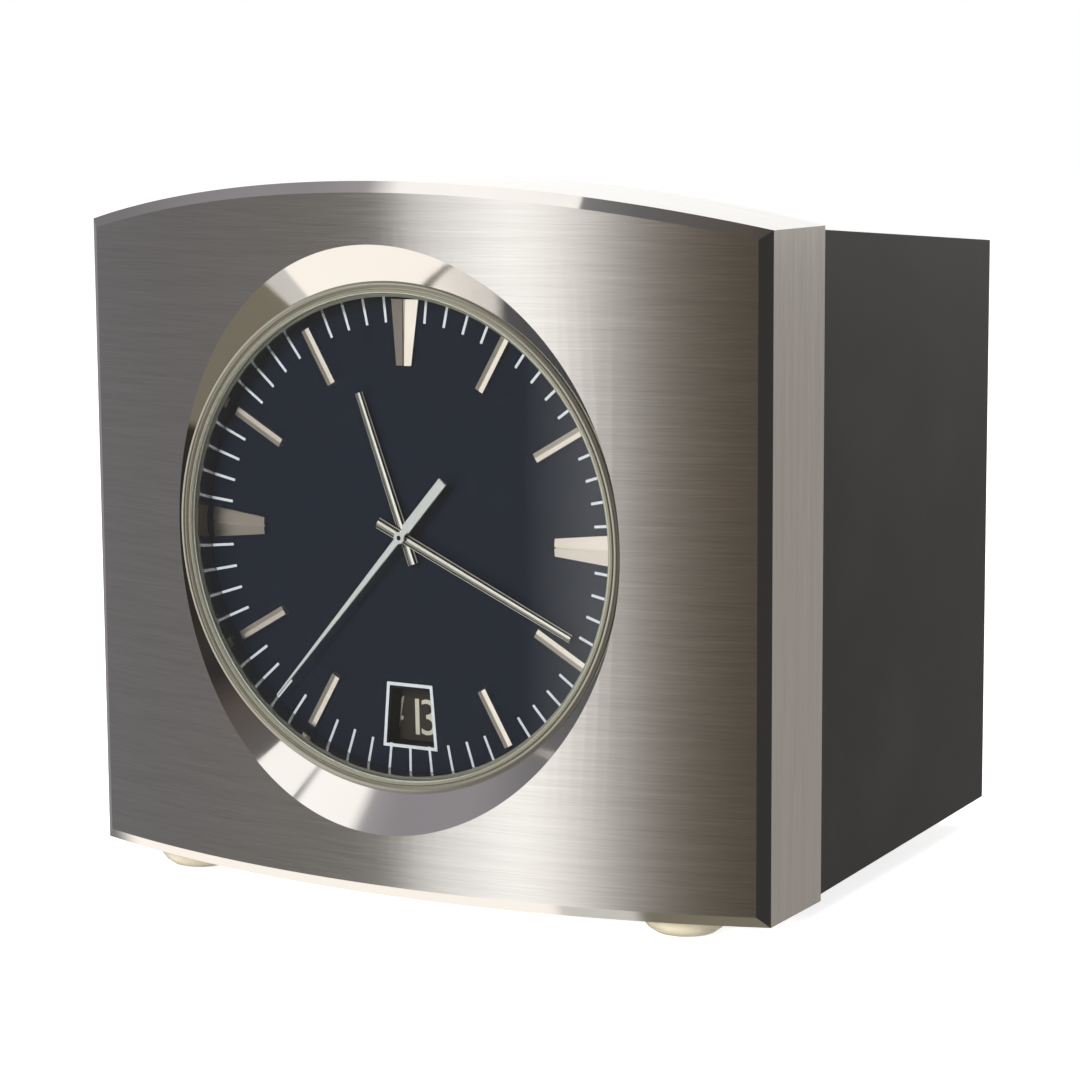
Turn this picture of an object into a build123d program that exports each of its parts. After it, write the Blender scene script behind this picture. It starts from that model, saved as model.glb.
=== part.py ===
from build123d import *
import math
import os

# Desk clock with a bowed steel front block, a round recessed dial with date, a dark tapered rear
# case and an electric movement that steps once a second. Lengths are in millimetres.
# Every piece is modelled as seen from the front: x to the right, y up, z towards the viewer, with
# the dial axis as origin and "depth" counted backwards from the foremost line of the bowed front.

# Front block, solid steel
block_width = 100.0
block_side_height = 84.2
block_crown = 5.6
block_depth = 24.2
front_radius = 143.5
chamfer_face_width = 1.4
chamfer_side_width = 0.75
axis_height = 45.0

# Round opening, crystal ring and crystal
sight_radius = 30.4
seat_width = 0.65
seat_thickness = 0.3
gasket_width = 0.35
ring_wall = 0.98
ring_set_back = 3.9
ring_land = 1.5
ring_flange_width = 2.0
ring_flange_thickness = 0.8
opening_flare = 50.0
crystal_set_back = 0.1
crystal_thickness = 1.2
seating_clearance = 0.02

# Dial, date window and hour markers
hand_room = 3.05
dial_thickness = 0.6
dial_hole_clearance = 0.3
window_near_width = 5.9
window_far_width = 7.3
window_near = 19.7
window_far = 27.0
marker_inner_radius = 21.6
marker_height = 0.62
marker_edge_height = 0.42
marker_ridge_share = 0.08
baton_length = 7.4
baton_width = 1.6
wedge_length = 8.3
wedge_outer_width = 4.0
wedge_inner_width = 2.2
wedge_groove_width = 0.3
wedge_groove_depth = 0.3

# Hands, with the angles that they show, clockwise from twelve
hour_reach = 19.1
hour_tail = 3.7
minute_reach = 26.7
minute_tail = 3.9
hand_width = 1.45
hand_tip_width = 1.05
hand_strip_width = 0.4
hand_edge_thickness = 0.12
hand_thickness = 0.35
hour_hand_lift = 0.75
hand_gap = 0.25
seconds_reach = 28.9
seconds_tail = 9.9
seconds_tail_start = 1.4
seconds_tail_width = 1.25
seconds_needle_width = 0.85
seconds_tip_width = 0.2
seconds_thickness = 0.25
seconds_hub_radius = 0.75
hour_angle = 340.0
minute_angle = 114.5
seconds_angle = 221.0

# Centre arbors, one inside the other
seconds_arbor_radius = 0.17
cannon_radius = 0.42
hour_pipe_radius = 0.6
running_clearance = 0.03
thick_arbor_radius = 0.4

# Date ring and the pieces beside it
date_depth = 3.1
date_ring_thickness = 0.6
date_ring_radius = 29.6
date_root_radius = 17.8
date_tooth_height = 1.2
date_tooth_root_share = 0.55
date_tooth_tip_share = 0.2
date_teeth = 31
date_guide_clearance = 0.1
date_axial_gap = 0.05
date_lip_overlap = 0.7
date_lip_thickness = 0.5
jumper_width = 1.2
jumper_pivot_radius = 14.0
jumper_pivot_angle = 35.0
jumper_thickness = 0.4
jumper_clearance = 0.25
jumper_angle = 300.0

# Motion work in front of the main plate
motion_axis_spacing = 6.0
motion_angle = 0.0
cannon_teeth = 12
minute_wheel_teeth = 36
minute_pinion_teeth = 10
hour_wheel_teeth = 40
setting_teeth = 12
date_axis_spacing = 12.0
date_angle = 180.0
date_pinion_teeth = 16
date_wheel_teeth = 32
date_finger_width = 1.4
date_finger_angle = 350.0
date_hub_radius = 1.5
date_wheel_thickness = 0.5
hour_wheel_thickness = 0.5
minute_wheel_thickness = 0.5
motion_gap = 0.3
stud_radius = 0.5

# Going train between the plates
train_axis_spacing = 10.0
train_angle = 90.0
centre_wheel_teeth = 60
third_pinion_teeth = 8
third_wheel_teeth = 64
seconds_pinion_teeth = 8
train_wheel_thickness = 0.5
train_gap = 0.5
train_wheel_spacing = 2.4
pinion_length = 1.6
third_arbor_radius = 0.35
pivot_radius = 0.25
crossing_share = 0.62
crossing_radius_share = 0.2
crossings = 5

# Tooth form, as shares of the module and of the pitch
addendum_share = 0.8
dedendum_share = 1.1
tip_share = 0.2
root_share = 0.5
gap_middle_share = 0.5

# Movement plates, pillars and holder
plate_thickness = 1.5
train_room = 8.0
back_plate_radius = 28.0
pillar_radius = 1.6
pillar_circle_radius = 22.5
pillar_angles = (30.0, 150.0, 210.0, 330.0)
holder_wall = 3.2
clamp_width = 9.0
clamp_thickness = 1.2
clamp_grip = 2.2
clamp_reach = 3.3
clamp_screw_offset = 1.7
clamp_angles = (90.0, 210.0, 330.0)

# Stepping motor on the seconds arbor
motor_radius = 10.0
motor_wall = 0.6
motor_length = 8.5
rotor_air_gap = 0.8
rotor_end_gap = 0.9
coil_thickness = 2.6
coil_end_gap = 0.4

# Circuit board with its components
board_width = 40.0
board_height = 18.0
board_thickness = 1.6
board_rise = 20.5
standoff_length = 3.0
standoff_radius = 2.2
board_screw_margin = 0.45
board_screw_rise = 5.0
quartz_can_width = 11.0
quartz_can_depth = 4.6
quartz_can_height = 13.0
chip_length = 10.0
chip_width = 6.4
chip_height = 3.2
chip_offset = 3.0
trimmer_radius = 3.2
trimmer_height = 2.8
trimmer_slot = 0.8
component_margin = 2.2

# Rear case, a tapered shell with a front wall
case_depth = 58.0
case_inset = 0.5
case_wall = 2.2
case_top_taper = 3.8
case_side_taper = 1.0
case_bottom_taper = 1.0
case_window_radius = 39.0
post_radius = 3.6
post_length = 12.0
post_top_drop = 9.0
post_bottom_rise = 9.0

# Back cover with the battery hatch
cover_recess = 4.0
cover_thickness = 2.5
cover_clearance = 0.15
hatch_drop = 21.0
hatch_clearance = 0.2
hatch_pin_radius = 0.6
hatch_pin_length = 1.5
hatch_pin_clearance = 0.05
hatch_tab_width = 10.0
hatch_tab_thickness = 0.9
hatch_tab_length = 1.2
hatch_tab_drop = 1.6
thumb_groove_radius = 6.0
thumb_groove_depth = 0.9
thumb_groove_width = 14.0

# Battery, tray, contacts and leads
battery_radius = 7.1
battery_length = 49.2
battery_tip_radius = 2.7
battery_tip_length = 1.2
battery_slack = 0.6
tray_wall = 1.4
tray_depth = 17.0
contact_thickness = 0.4
contact_width = 9.0
contact_tag_length = 3.0
contact_tag_width = 2.4
lead_radius = 0.6
lead_bend_radius = 6.0
lead_run = 12.0

# Setting stem and knob
stem_radius = 1.5
stem_front_radius = 0.6
knob_radius = 6.0
knob_gap = 0.4
knob_inset = 0.4
knob_flutes = 24
knob_flute_depth = 0.5
knob_tip_share = 0.35
knob_root_share = 0.65

# Screws
screw_clearance = 0.05
large_screw_radius = 1.45
large_head_radius = 2.7
large_head_height = 1.6
large_screw_depth = 8.0
large_head_margin = 0.5
small_screw_radius = 0.9
small_head_radius = 1.55
small_head_height = 1.0
small_screw_depth = 4.0
slot_width = 0.6
slot_depth_share = 0.5

# Feet, soft domes
foot_radius = 5.7
foot_height = 2.8
foot_rim = 0.5
foot_flat_radius = 2.8
foot_spread = 36.8
front_foot_depth = 12.9
rear_foot_margin = 11.0
foot_pad_margin = 0.5

# One overrun serves all cuts
overrun = 1.0

# Radii that follow from the crystal outwards
crystal_radius = sight_radius + seat_width
gasket_radius = crystal_radius + gasket_width
ring_radius = gasket_radius + ring_wall
ring_bore_radius = ring_radius + seating_clearance
stack_radius = ring_radius + ring_flange_width
stack_bore_radius = stack_radius + seating_clearance

# Depths along the dial axis, from the front backwards
crystal_front = ring_set_back + crystal_set_back
crystal_back = crystal_front + crystal_thickness
seat_back = crystal_back + seat_thickness
shoulder_depth = ring_set_back + ring_land
ring_back = shoulder_depth + ring_flange_thickness
dial_front = crystal_back + hand_room
dial_back = dial_front + dial_thickness
date_front = dial_front + date_depth
date_back = date_front + date_ring_thickness
plate_front = date_back + date_axial_gap
plate_back = plate_front + plate_thickness
back_plate_front = plate_back + train_room
back_plate_back = back_plate_front + plate_thickness
case_back = block_depth + case_depth
cover_back = case_back - cover_recess
cover_front = cover_back - cover_thickness
board_front = back_plate_back + standoff_length
board_back = board_front + board_thickness
motor_back = back_plate_back + motor_length

# Places on the circuit board
standoff_spread = board_width / 2 - small_head_radius - board_screw_margin
standoff_rise = board_rise - board_height / 2 + board_screw_rise
quartz_middle = chip_offset - (chip_width + quartz_can_width) / 2 - component_margin
trimmer_middle = chip_offset + (chip_width + component_margin) / 2 + trimmer_radius

# Radii inside the motor
coil_radius = motor_radius - motor_wall
coil_inner_radius = coil_radius - coil_thickness
rotor_radius = coil_inner_radius - rotor_air_gap

# Depths of the hands, counted from the dial forwards
hour_hand_back = dial_front - hour_hand_lift
hour_hand_front = hour_hand_back - hand_thickness
minute_hand_back = hour_hand_front - hand_gap
minute_hand_front = minute_hand_back - hand_thickness
seconds_hand_back = minute_hand_front - hand_gap
seconds_hand_front = seconds_hand_back - seconds_thickness

# Depths of the motion work, counted from the dial backwards
date_wheel_front = dial_back + motion_gap
date_wheel_back = date_wheel_front + date_wheel_thickness
hour_wheel_front = date_wheel_back + motion_gap
hour_wheel_back = hour_wheel_front + hour_wheel_thickness
minute_wheel_front = hour_wheel_back + motion_gap
minute_wheel_back = minute_wheel_front + minute_wheel_thickness

# Depths of the going train, counted from the main plate backwards
centre_wheel_front = plate_back + train_gap
centre_wheel_back = centre_wheel_front + train_wheel_thickness
third_wheel_front = centre_wheel_back + train_wheel_spacing
third_wheel_back = third_wheel_front + train_wheel_thickness

half_width = block_width / 2
front_sag = front_radius - math.sqrt(front_radius ** 2 - half_width ** 2)
underside = -axis_height
side_top = block_side_height - axis_height

# The battery sets the tray, the tray sets the cover's opening and the opening sets the hatch
tray_back = cover_front
tray_front = tray_back - tray_depth
battery_depth = tray_front + tray_wall + battery_radius
tray_inner_width = battery_length + battery_tip_length + 2 * contact_thickness
tray_inner_height = 2 * battery_radius + battery_slack
hatch_width = tray_inner_width - 2 * hatch_clearance
hatch_height = tray_inner_height - 2 * hatch_clearance
hatch_top = hatch_height / 2 - hatch_drop
hatch_axis_height = cover_thickness / 2 - hatch_height / 2 - hatch_drop
hatch_axis_depth = cover_back - cover_thickness / 2
stem_axis_spacing = 2 * motion_axis_spacing


def polar(radius, angle):
    """Point at a radius and an angle, counter-clockwise from three o'clock."""
    turn = math.radians(angle)
    return radius * math.cos(turn), radius * math.sin(turn)


def disc(radius, front, back, at=(0, 0)):
    """Round bar along the dial axis between two depths."""
    return Pos(at[0], at[1], -back) * Cylinder(
        radius, back - front, align=(Align.CENTER, Align.CENTER, Align.MIN))


def hole(radius, front, back, at=(0, 0)):
    """Cutter for a round hole that runs out at both depths."""
    return disc(radius, front - overrun, back + overrun, at)


def slab(width, height, front, back, at=(0, 0)):
    """Rectangular bar along the dial axis between two depths."""
    return Pos(at[0], at[1], -back) * Box(
        width, height, back - front, align=(Align.CENTER, Align.CENTER, Align.MIN))


def turned(points):
    """Solid of revolution about the dial axis from (radius, depth) points."""
    outline = Polyline(*[(radius, 0, -depth) for radius, depth in points], close=True)
    return revolve(make_face(outline), Axis.Z)


def prism(face, front, back):
    """Flat face in the dial plane, made solid between two depths."""
    return extrude(Pos(0, 0, -back) * face, back - front, dir=(0, 0, 1))


def toothed_face(teeth, tip_radius, root_radius, tip_width_share, root_width_share, phase=0.0):
    """Toothed outline with straight flanks and one tooth centred on the phase angle."""
    pitch_angle = 360 / teeth
    points = []
    for tooth in range(teeth):
        middle = phase + tooth * pitch_angle
        points.append(polar(root_radius, middle - root_width_share * pitch_angle / 2))
        points.append(polar(tip_radius, middle - tip_width_share * pitch_angle / 2))
        points.append(polar(tip_radius, middle + tip_width_share * pitch_angle / 2))
        points.append(polar(root_radius, middle + root_width_share * pitch_angle / 2))
    return make_face(Polyline(*points, close=True))


def gear(teeth, module, front, back, phase, at=(0, 0)):
    """Spur gear between two depths."""
    pitch_radius = module * teeth / 2
    tip_radius = pitch_radius + addendum_share * module
    root_radius = pitch_radius - dedendum_share * module
    face = toothed_face(teeth, tip_radius, root_radius, tip_share, root_share, phase)
    return Pos(at[0], at[1], 0) * prism(face, front, back)


def mesh_phase(driver_teeth, driver_phase, teeth, direction):
    """Phase that sets a gear's teeth in the gaps of its driver, which lies against the direction."""
    offset = (driver_phase - direction) * driver_teeth / 360
    return direction + 180 + (gap_middle_share - offset) * 360 / teeth


def crossed_out(wheel, pitch_radius, at=(0, 0)):
    """Wheel lightened by a ring of round openings between hub and rim."""
    for opening in range(crossings):
        x, y = polar(pitch_radius * crossing_share, opening * 360 / crossings)
        wheel -= hole(pitch_radius * crossing_radius_share, plate_front, back_plate_back,
                      (at[0] + x, at[1] + y))
    return wheel


def block_outline(width, bottom, top, crown):
    """Front outline with a straight foot, straight sides and an arched top."""
    half = width / 2
    edges = [
        Line((-half, bottom), (half, bottom)),
        Line((half, bottom), (half, top)),
        ThreePointArc((half, top), (0, top + crown), (-half, top)),
        Line((-half, top), (-half, bottom)),
    ]
    return make_face(edges)


def slotted_screw(radius, head_radius, head_height, depth, head_seat, at):
    """Slotted cheese-head screw driven forwards, its head resting on the seat depth."""
    screw = disc(radius, head_seat - depth, head_seat, at)
    screw += disc(head_radius, head_seat, head_seat + head_height, at)
    slot_floor = head_seat + head_height * slot_depth_share
    return screw - slab(2 * head_radius + overrun, slot_width, slot_floor,
                        head_seat + head_height + overrun, at)


def case_screw_places():
    """Where the rear case is screwed to the block, in the corners outside the case's window."""
    x = case_half_width(block_depth) - large_head_radius - large_head_margin
    low = underside + case_inset + case_wall + large_head_radius + post_radius
    high = side_top - case_inset - case_wall - large_head_radius
    return [(side * x, y) for side in (-1, 1) for y in (low, high)]


def clamp_screw_places():
    """Centres of the movement clamps' screws."""
    return [polar(stack_bore_radius + clamp_screw_offset, angle) for angle in clamp_angles]


def front_block():
    """Steel block with bowed front, arched top, bevelled edges and a flared round opening."""
    block = prism(block_outline(block_width, underside, side_top, block_crown), 0, block_depth)
    bow = make_face([
        ThreePointArc((-half_width, 0, -front_sag), (0, 0, 0), (half_width, 0, -front_sag)),
        Line((half_width, 0, -front_sag), (half_width, 0, -block_depth)),
        Line((half_width, 0, -block_depth), (-half_width, 0, -block_depth)),
        Line((-half_width, 0, -block_depth), (-half_width, 0, -front_sag)),
    ])
    tall = axis_height + block_side_height + block_crown
    block = block & extrude(bow, tall, dir=(0, 1, 0), both=True)
    bowed_face = block.faces().sort_by(Axis.Z)[-1]
    block = chamfer(bowed_face.edges(), chamfer_face_width, chamfer_side_width, reference=bowed_face)
    flare_length = ring_set_back + overrun
    flare_radius = ring_bore_radius + flare_length * math.tan(math.radians(opening_flare))
    block -= Pos(0, 0, -ring_set_back) * Cone(
        ring_bore_radius, flare_radius, flare_length, align=(Align.CENTER, Align.CENTER, Align.MIN))
    block -= hole(ring_bore_radius, ring_set_back, shoulder_depth)
    block -= disc(stack_bore_radius, shoulder_depth, block_depth + overrun)
    hole_back = block_depth + overrun
    for place in case_screw_places():
        block -= disc(large_screw_radius + screw_clearance, block_depth - large_screw_depth, hole_back,
                      place)
    for place in clamp_screw_places():
        block -= disc(small_screw_radius + screw_clearance, block_depth - small_screw_depth, hole_back,
                      place)
    return block


def crystal_ring():
    """Turned steel ring with the crystal's seat inside and a flange behind the block's shoulder."""
    return turned([
        (gasket_radius, ring_set_back), (ring_radius, ring_set_back), (ring_radius, shoulder_depth),
        (stack_radius, shoulder_depth), (stack_radius, ring_back), (gasket_radius, ring_back),
        (gasket_radius, seat_back), (sight_radius, seat_back), (sight_radius, crystal_back),
        (gasket_radius, crystal_back),
    ])


def crystal_gasket():
    """Thin ring that grips the crystal's rim."""
    return disc(gasket_radius, crystal_front, crystal_back) - hole(crystal_radius, crystal_front,
                                                                   crystal_back)


def crystal():
    """Flat mineral glass."""
    return disc(crystal_radius, crystal_front, crystal_back)


def dial_flange():
    """Dark inner wall between the crystal's seat and the dial."""
    return turned([
        (sight_radius, seat_back), (gasket_radius, seat_back), (gasket_radius, ring_back),
        (stack_radius, ring_back), (stack_radius, dial_front), (sight_radius, dial_front),
    ])


def dial():
    """Dial plate with the centre hole and the date window at six."""
    plate = disc(stack_radius, dial_front, dial_back)
    plate -= hole(hour_pipe_radius + dial_hole_clearance, dial_front, dial_back)
    window = make_face(Polyline(
        (-window_near_width / 2, -window_near), (window_near_width / 2, -window_near),
        (window_far_width / 2, -window_far), (-window_far_width / 2, -window_far), close=True))
    return plate - prism(window, dial_front - overrun, dial_back + overrun)


def ridged_bar(sections, edge_height, ridge_height, ridge_width_share, seat):
    """Bar along y through (y, width) sections, with upright edges and facets up to a ridge strip."""
    faces = []
    for y, width in sections:
        half = width / 2
        strip = half * ridge_width_share
        faces.append(make_face(Polyline(
            (-half, y, -seat), (half, y, -seat), (half, y, edge_height - seat),
            (strip, y, ridge_height - seat), (-strip, y, ridge_height - seat),
            (-half, y, edge_height - seat), close=True)))
    return loft(faces, ruled=True)


def wedge_markers():
    """Faceted wedges at twelve, three and nine, wider outwards, with a groove along the middle."""
    sections = [(marker_inner_radius, wedge_inner_width),
                (marker_inner_radius + wedge_length, wedge_outer_width)]
    wedge = ridged_bar(sections, marker_edge_height, marker_height, marker_ridge_share, dial_front)
    wedge -= Pos(0, marker_inner_radius + wedge_length / 2, marker_height - dial_front) * Box(
        wedge_groove_width, wedge_length * 2, wedge_groove_depth * 2)
    return [Rot(0, 0, -turn) * wedge for turn in (0, 90, 270)]


def baton_markers():
    """Faceted batons at the other hours, without six."""
    sections = [(marker_inner_radius, baton_width), (marker_inner_radius + baton_length, baton_width)]
    baton = ridged_bar(sections, marker_edge_height, marker_height, marker_ridge_share, dial_front)
    return [Rot(0, 0, -hour * 360 / 12) * baton for hour in (1, 2, 4, 5, 7, 8, 10, 11)]


def baton_hand(reach, tail, back, bore_radius, angle):
    """Slim faceted hand with a short counter-tail, pushed on its pipe."""
    sections = [(-tail, hand_width), (reach, hand_tip_width)]
    strip_share = hand_strip_width / hand_width
    blade = ridged_bar(sections, hand_edge_thickness, hand_thickness, strip_share, back)
    blade -= hole(bore_radius, back - hand_thickness, back)
    return Rot(0, 0, -angle) * blade


def hour_hand():
    """Hour hand."""
    return baton_hand(hour_reach, hour_tail, hour_hand_back, hour_pipe_radius, hour_angle)


def minute_hand():
    """Minute hand."""
    return baton_hand(minute_reach, minute_tail, minute_hand_back, cannon_radius, minute_angle)


def seconds_hand():
    """Flat seconds hand with a round hub and a broad counterweight."""
    needle = make_face(Polyline(
        (-seconds_needle_width / 2, -seconds_tail_start), (seconds_needle_width / 2,
                                                           -seconds_tail_start),
        (seconds_tip_width / 2, seconds_reach), (-seconds_tip_width / 2, seconds_reach), close=True))
    hand = prism(needle, seconds_hand_front, seconds_hand_back)
    weight_length = seconds_tail - seconds_tail_start
    weight_middle = -(seconds_tail + seconds_tail_start) / 2
    hand += slab(seconds_tail_width, weight_length, seconds_hand_front, seconds_hand_back,
                 (0, weight_middle))
    hand += disc(seconds_hub_radius, seconds_hand_front, seconds_hand_back)
    hand -= hole(seconds_arbor_radius, seconds_hand_front, seconds_hand_back)
    return Rot(0, 0, -seconds_angle) * hand


motion_module = 2 * motion_axis_spacing / (cannon_teeth + minute_wheel_teeth)
hour_module = 2 * motion_axis_spacing / (minute_pinion_teeth + hour_wheel_teeth)
date_module = 2 * date_axis_spacing / (date_pinion_teeth + date_wheel_teeth)
centre_module = 2 * train_axis_spacing / (centre_wheel_teeth + third_pinion_teeth)
third_module = 2 * train_axis_spacing / (third_wheel_teeth + seconds_pinion_teeth)
minute_wheel_place = polar(motion_axis_spacing, motion_angle)
stem_place = polar(stem_axis_spacing, motion_angle)
date_wheel_place = polar(date_axis_spacing, date_angle)
third_place = polar(train_axis_spacing, train_angle)
minute_wheel_phase = mesh_phase(cannon_teeth, motion_angle, minute_wheel_teeth, motion_angle)


def cannon_pinion():
    """Tube with the motion work's pinion, which carries the minute hand and the centre wheel."""
    tube = disc(cannon_radius, minute_hand_front, centre_wheel_back)
    tube += gear(cannon_teeth, motion_module, minute_wheel_front, minute_wheel_back, motion_angle)
    return tube - hole(seconds_arbor_radius + running_clearance, minute_hand_front, centre_wheel_back)


def centre_wheel():
    """Wheel on the cannon pinion's tube that the third pinion drives once an hour."""
    wheel = gear(centre_wheel_teeth, centre_module, centre_wheel_front, centre_wheel_back, train_angle)
    wheel = crossed_out(wheel, centre_module * centre_wheel_teeth / 2)
    return wheel - hole(cannon_radius, centre_wheel_front, centre_wheel_back)


def hour_wheel():
    """Hour wheel on its pipe, with the small pinion that drives the date wheel."""
    pipe = disc(hour_pipe_radius, hour_hand_front, hour_wheel_back)
    phase = mesh_phase(minute_pinion_teeth, motion_angle + 180, hour_wheel_teeth, motion_angle + 180)
    pipe += gear(hour_wheel_teeth, hour_module, hour_wheel_front, hour_wheel_back, phase)
    pipe += disc(stud_radius + hour_pipe_radius, date_wheel_back, hour_wheel_front)
    pipe += gear(date_pinion_teeth, date_module, date_wheel_front, date_wheel_back, date_angle)
    return pipe - hole(cannon_radius + running_clearance, hour_hand_front, hour_wheel_back)


def minute_wheel():
    """Wheel and pinion that step the cannon pinion down to the hour wheel."""
    wheel = gear(minute_wheel_teeth, motion_module, minute_wheel_front, minute_wheel_back,
                 minute_wheel_phase, minute_wheel_place)
    wheel += gear(minute_pinion_teeth, hour_module, hour_wheel_front, minute_wheel_front,
                  motion_angle + 180, minute_wheel_place)
    return wheel - hole(stud_radius + running_clearance, hour_wheel_front, minute_wheel_back,
                        minute_wheel_place)


def date_wheel():
    """Wheel that turns once a day and pushes the date ring on with its finger."""
    phase = mesh_phase(date_pinion_teeth, date_angle, date_wheel_teeth, date_angle)
    wheel = gear(date_wheel_teeth, date_module, date_wheel_front, date_wheel_back, phase,
                 date_wheel_place)
    wheel += disc(date_hub_radius, date_wheel_back, date_back, date_wheel_place)
    finger_reach = date_root_radius - date_tooth_height / 2 - date_axis_spacing
    finger = slab(finger_reach, date_finger_width, date_front, date_back, (finger_reach / 2, 0))
    wheel += Pos(date_wheel_place[0], date_wheel_place[1], 0) * Rot(0, 0, date_finger_angle) * finger
    return wheel - hole(stud_radius + running_clearance, date_wheel_front, date_back, date_wheel_place)


def date_ring():
    """Ring that carries the date figures, with inward teeth."""
    tip_radius = date_root_radius - date_tooth_height
    ring = disc(date_ring_radius, date_front, date_back)
    bore = toothed_face(date_teeth, date_root_radius, tip_radius, 1 - date_tooth_root_share,
                        1 - date_tooth_tip_share)
    return ring - prism(bore, date_front - overrun, date_back + overrun)


def date_jumper():
    """Spring lever that settles the date ring, standing just clear of its tooth tips."""
    tip = date_root_radius - date_tooth_height - jumper_clearance
    pivot = polar(jumper_pivot_radius, -jumper_pivot_angle)
    front = plate_front - jumper_thickness
    blade = make_face(Polyline(
        (tip, 0), (pivot[0], pivot[1] + jumper_width / 2),
        (pivot[0], pivot[1] - jumper_width / 2), close=True))
    lever = prism(blade, front, plate_front) + disc(jumper_width, front, plate_front, pivot)
    return Rot(0, 0, jumper_angle) * lever


def spacer_ring():
    """Ring between dial and main plate that guides the date ring and keeps it from lifting."""
    guide_radius = date_ring_radius + date_guide_clearance
    lip_back = date_front - date_axial_gap
    lip_front = lip_back - date_lip_thickness
    lip_radius = date_ring_radius - date_lip_overlap
    return turned([
        (guide_radius, dial_back), (stack_radius, dial_back),
        (stack_radius, plate_front), (guide_radius, plate_front),
        (guide_radius, lip_back), (lip_radius, lip_back), (lip_radius, lip_front), (guide_radius,
                                                                                    lip_front),
    ])


def main_plate():
    """Brass plate that carries the motion work's studs in front and the train behind."""
    plate = disc(stack_radius, plate_front, plate_back)
    plate += disc(stud_radius, hour_wheel_front, plate_front, minute_wheel_place)
    plate += disc(stud_radius, date_wheel_front, plate_front, date_wheel_place)
    plate -= hole(cannon_radius + running_clearance, plate_front, plate_back)
    plate -= hole(stem_front_radius + running_clearance, plate_front, plate_back, stem_place)
    plate -= hole(pivot_radius + running_clearance, plate_front, plate_back, third_place)
    for angle in pillar_angles:
        plate -= hole(small_screw_radius + screw_clearance, plate_front, plate_back,
                      polar(pillar_circle_radius, angle))
    return plate


def plate_pillars():
    """Turned pillars that keep the two plates apart, tapped through."""
    pillars = []
    for angle in pillar_angles:
        place = polar(pillar_circle_radius, angle)
        pillar = disc(pillar_radius, plate_back, back_plate_front, place)
        pillars.append(pillar - hole(small_screw_radius + screw_clearance, plate_back,
                                     back_plate_front, place))
    return pillars


def back_plate():
    """Rear plate of the movement, with two standoffs for the circuit board."""
    plate = disc(back_plate_radius, back_plate_front, back_plate_back)
    for side in (-1, 1):
        place = (side * standoff_spread, standoff_rise)
        plate += disc(standoff_radius, back_plate_back, board_front, place)
        plate -= disc(small_screw_radius + screw_clearance, board_front - standoff_length,
                      board_front + overrun, place)
    plate -= hole(thick_arbor_radius + running_clearance, back_plate_front, back_plate_back)
    plate -= hole(stem_radius + running_clearance, back_plate_front, back_plate_back, stem_place)
    plate -= hole(pivot_radius + running_clearance, back_plate_front, back_plate_back, third_place)
    for angle in pillar_angles:
        place = polar(pillar_circle_radius, angle)
        plate -= hole(small_screw_radius + screw_clearance, back_plate_front, back_plate_back, place)
    return plate


def plate_screws():
    """Screws that hold the back plate on the pillars."""
    depth = plate_thickness + small_screw_depth
    return [slotted_screw(small_screw_radius, small_head_radius, small_head_height, depth,
                          back_plate_back, polar(pillar_circle_radius,
                                                 angle)) for angle in pillar_angles]


def third_wheel():
    """Third wheel and pinion, between the seconds pinion and the centre wheel."""
    arbor = disc(third_arbor_radius, plate_back, back_plate_front, third_place)
    arbor += disc(pivot_radius, plate_front, back_plate_back, third_place)
    pinion_front = centre_wheel_front - train_gap / 2
    phase = mesh_phase(centre_wheel_teeth, train_angle, third_pinion_teeth, train_angle)
    arbor += gear(third_pinion_teeth, centre_module, pinion_front, pinion_front + pinion_length, phase,
                  third_place)
    wheel = gear(third_wheel_teeth, third_module, third_wheel_front, third_wheel_back,
                 train_angle + 180, third_place)
    return arbor + crossed_out(wheel, third_module * third_wheel_teeth / 2, third_place)


def seconds_arbor():
    """Arbor with the seconds pinion, slim through the cannon pinion and thick in the motor."""
    pinion_front = (third_wheel_front + third_wheel_back - pinion_length) / 2
    phase = mesh_phase(third_wheel_teeth, train_angle + 180, seconds_pinion_teeth, train_angle + 180)
    arbor = disc(seconds_arbor_radius, seconds_hand_front, pinion_front)
    arbor += disc(thick_arbor_radius, pinion_front, motor_back)
    return arbor + gear(seconds_pinion_teeth, third_module, pinion_front, pinion_front + pinion_length,
                        phase)


def motor_rotor():
    """Magnet drum on the seconds arbor, stepped round sixty times a turn."""
    front = back_plate_back + rotor_end_gap
    back = motor_back - motor_wall - rotor_end_gap
    return disc(rotor_radius, front, back) - hole(thick_arbor_radius, front, back)


def motor_can():
    """Drawn iron can that closes the motor's magnetic circuit and carries the rear bearing."""
    can = disc(motor_radius, back_plate_back, motor_back)
    can -= disc(coil_radius, back_plate_back - overrun, motor_back - motor_wall)
    return can - hole(thick_arbor_radius + running_clearance, back_plate_back, motor_back)


def motor_coil():
    """Ring coil round the rotor, filling the can up to its wall."""
    front = back_plate_back + coil_end_gap
    back = motor_back - motor_wall
    return disc(coil_radius, front, back) - hole(coil_inner_radius, front, back)


def movement_holder():
    """Moulded ring that presses main plate, dial and crystal ring against the block's shoulder."""
    inner = stack_radius - holder_wall
    return disc(stack_radius, plate_back, block_depth) - hole(inner, plate_back, block_depth)


def movement_clamps():
    """Three steel tabs screwed to the block behind the holder."""
    clamps = []
    for angle, place in zip(clamp_angles, clamp_screw_places()):
        middle = stack_bore_radius + (clamp_reach - clamp_grip) / 2
        tab = slab(clamp_grip + clamp_reach, clamp_width, block_depth, block_depth + clamp_thickness,
                   (middle, 0))
        bore = hole(small_screw_radius + screw_clearance, block_depth, block_depth + clamp_thickness,
                    place)
        clamps.append(Rot(0, 0, angle) * tab - bore)
    return clamps


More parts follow.
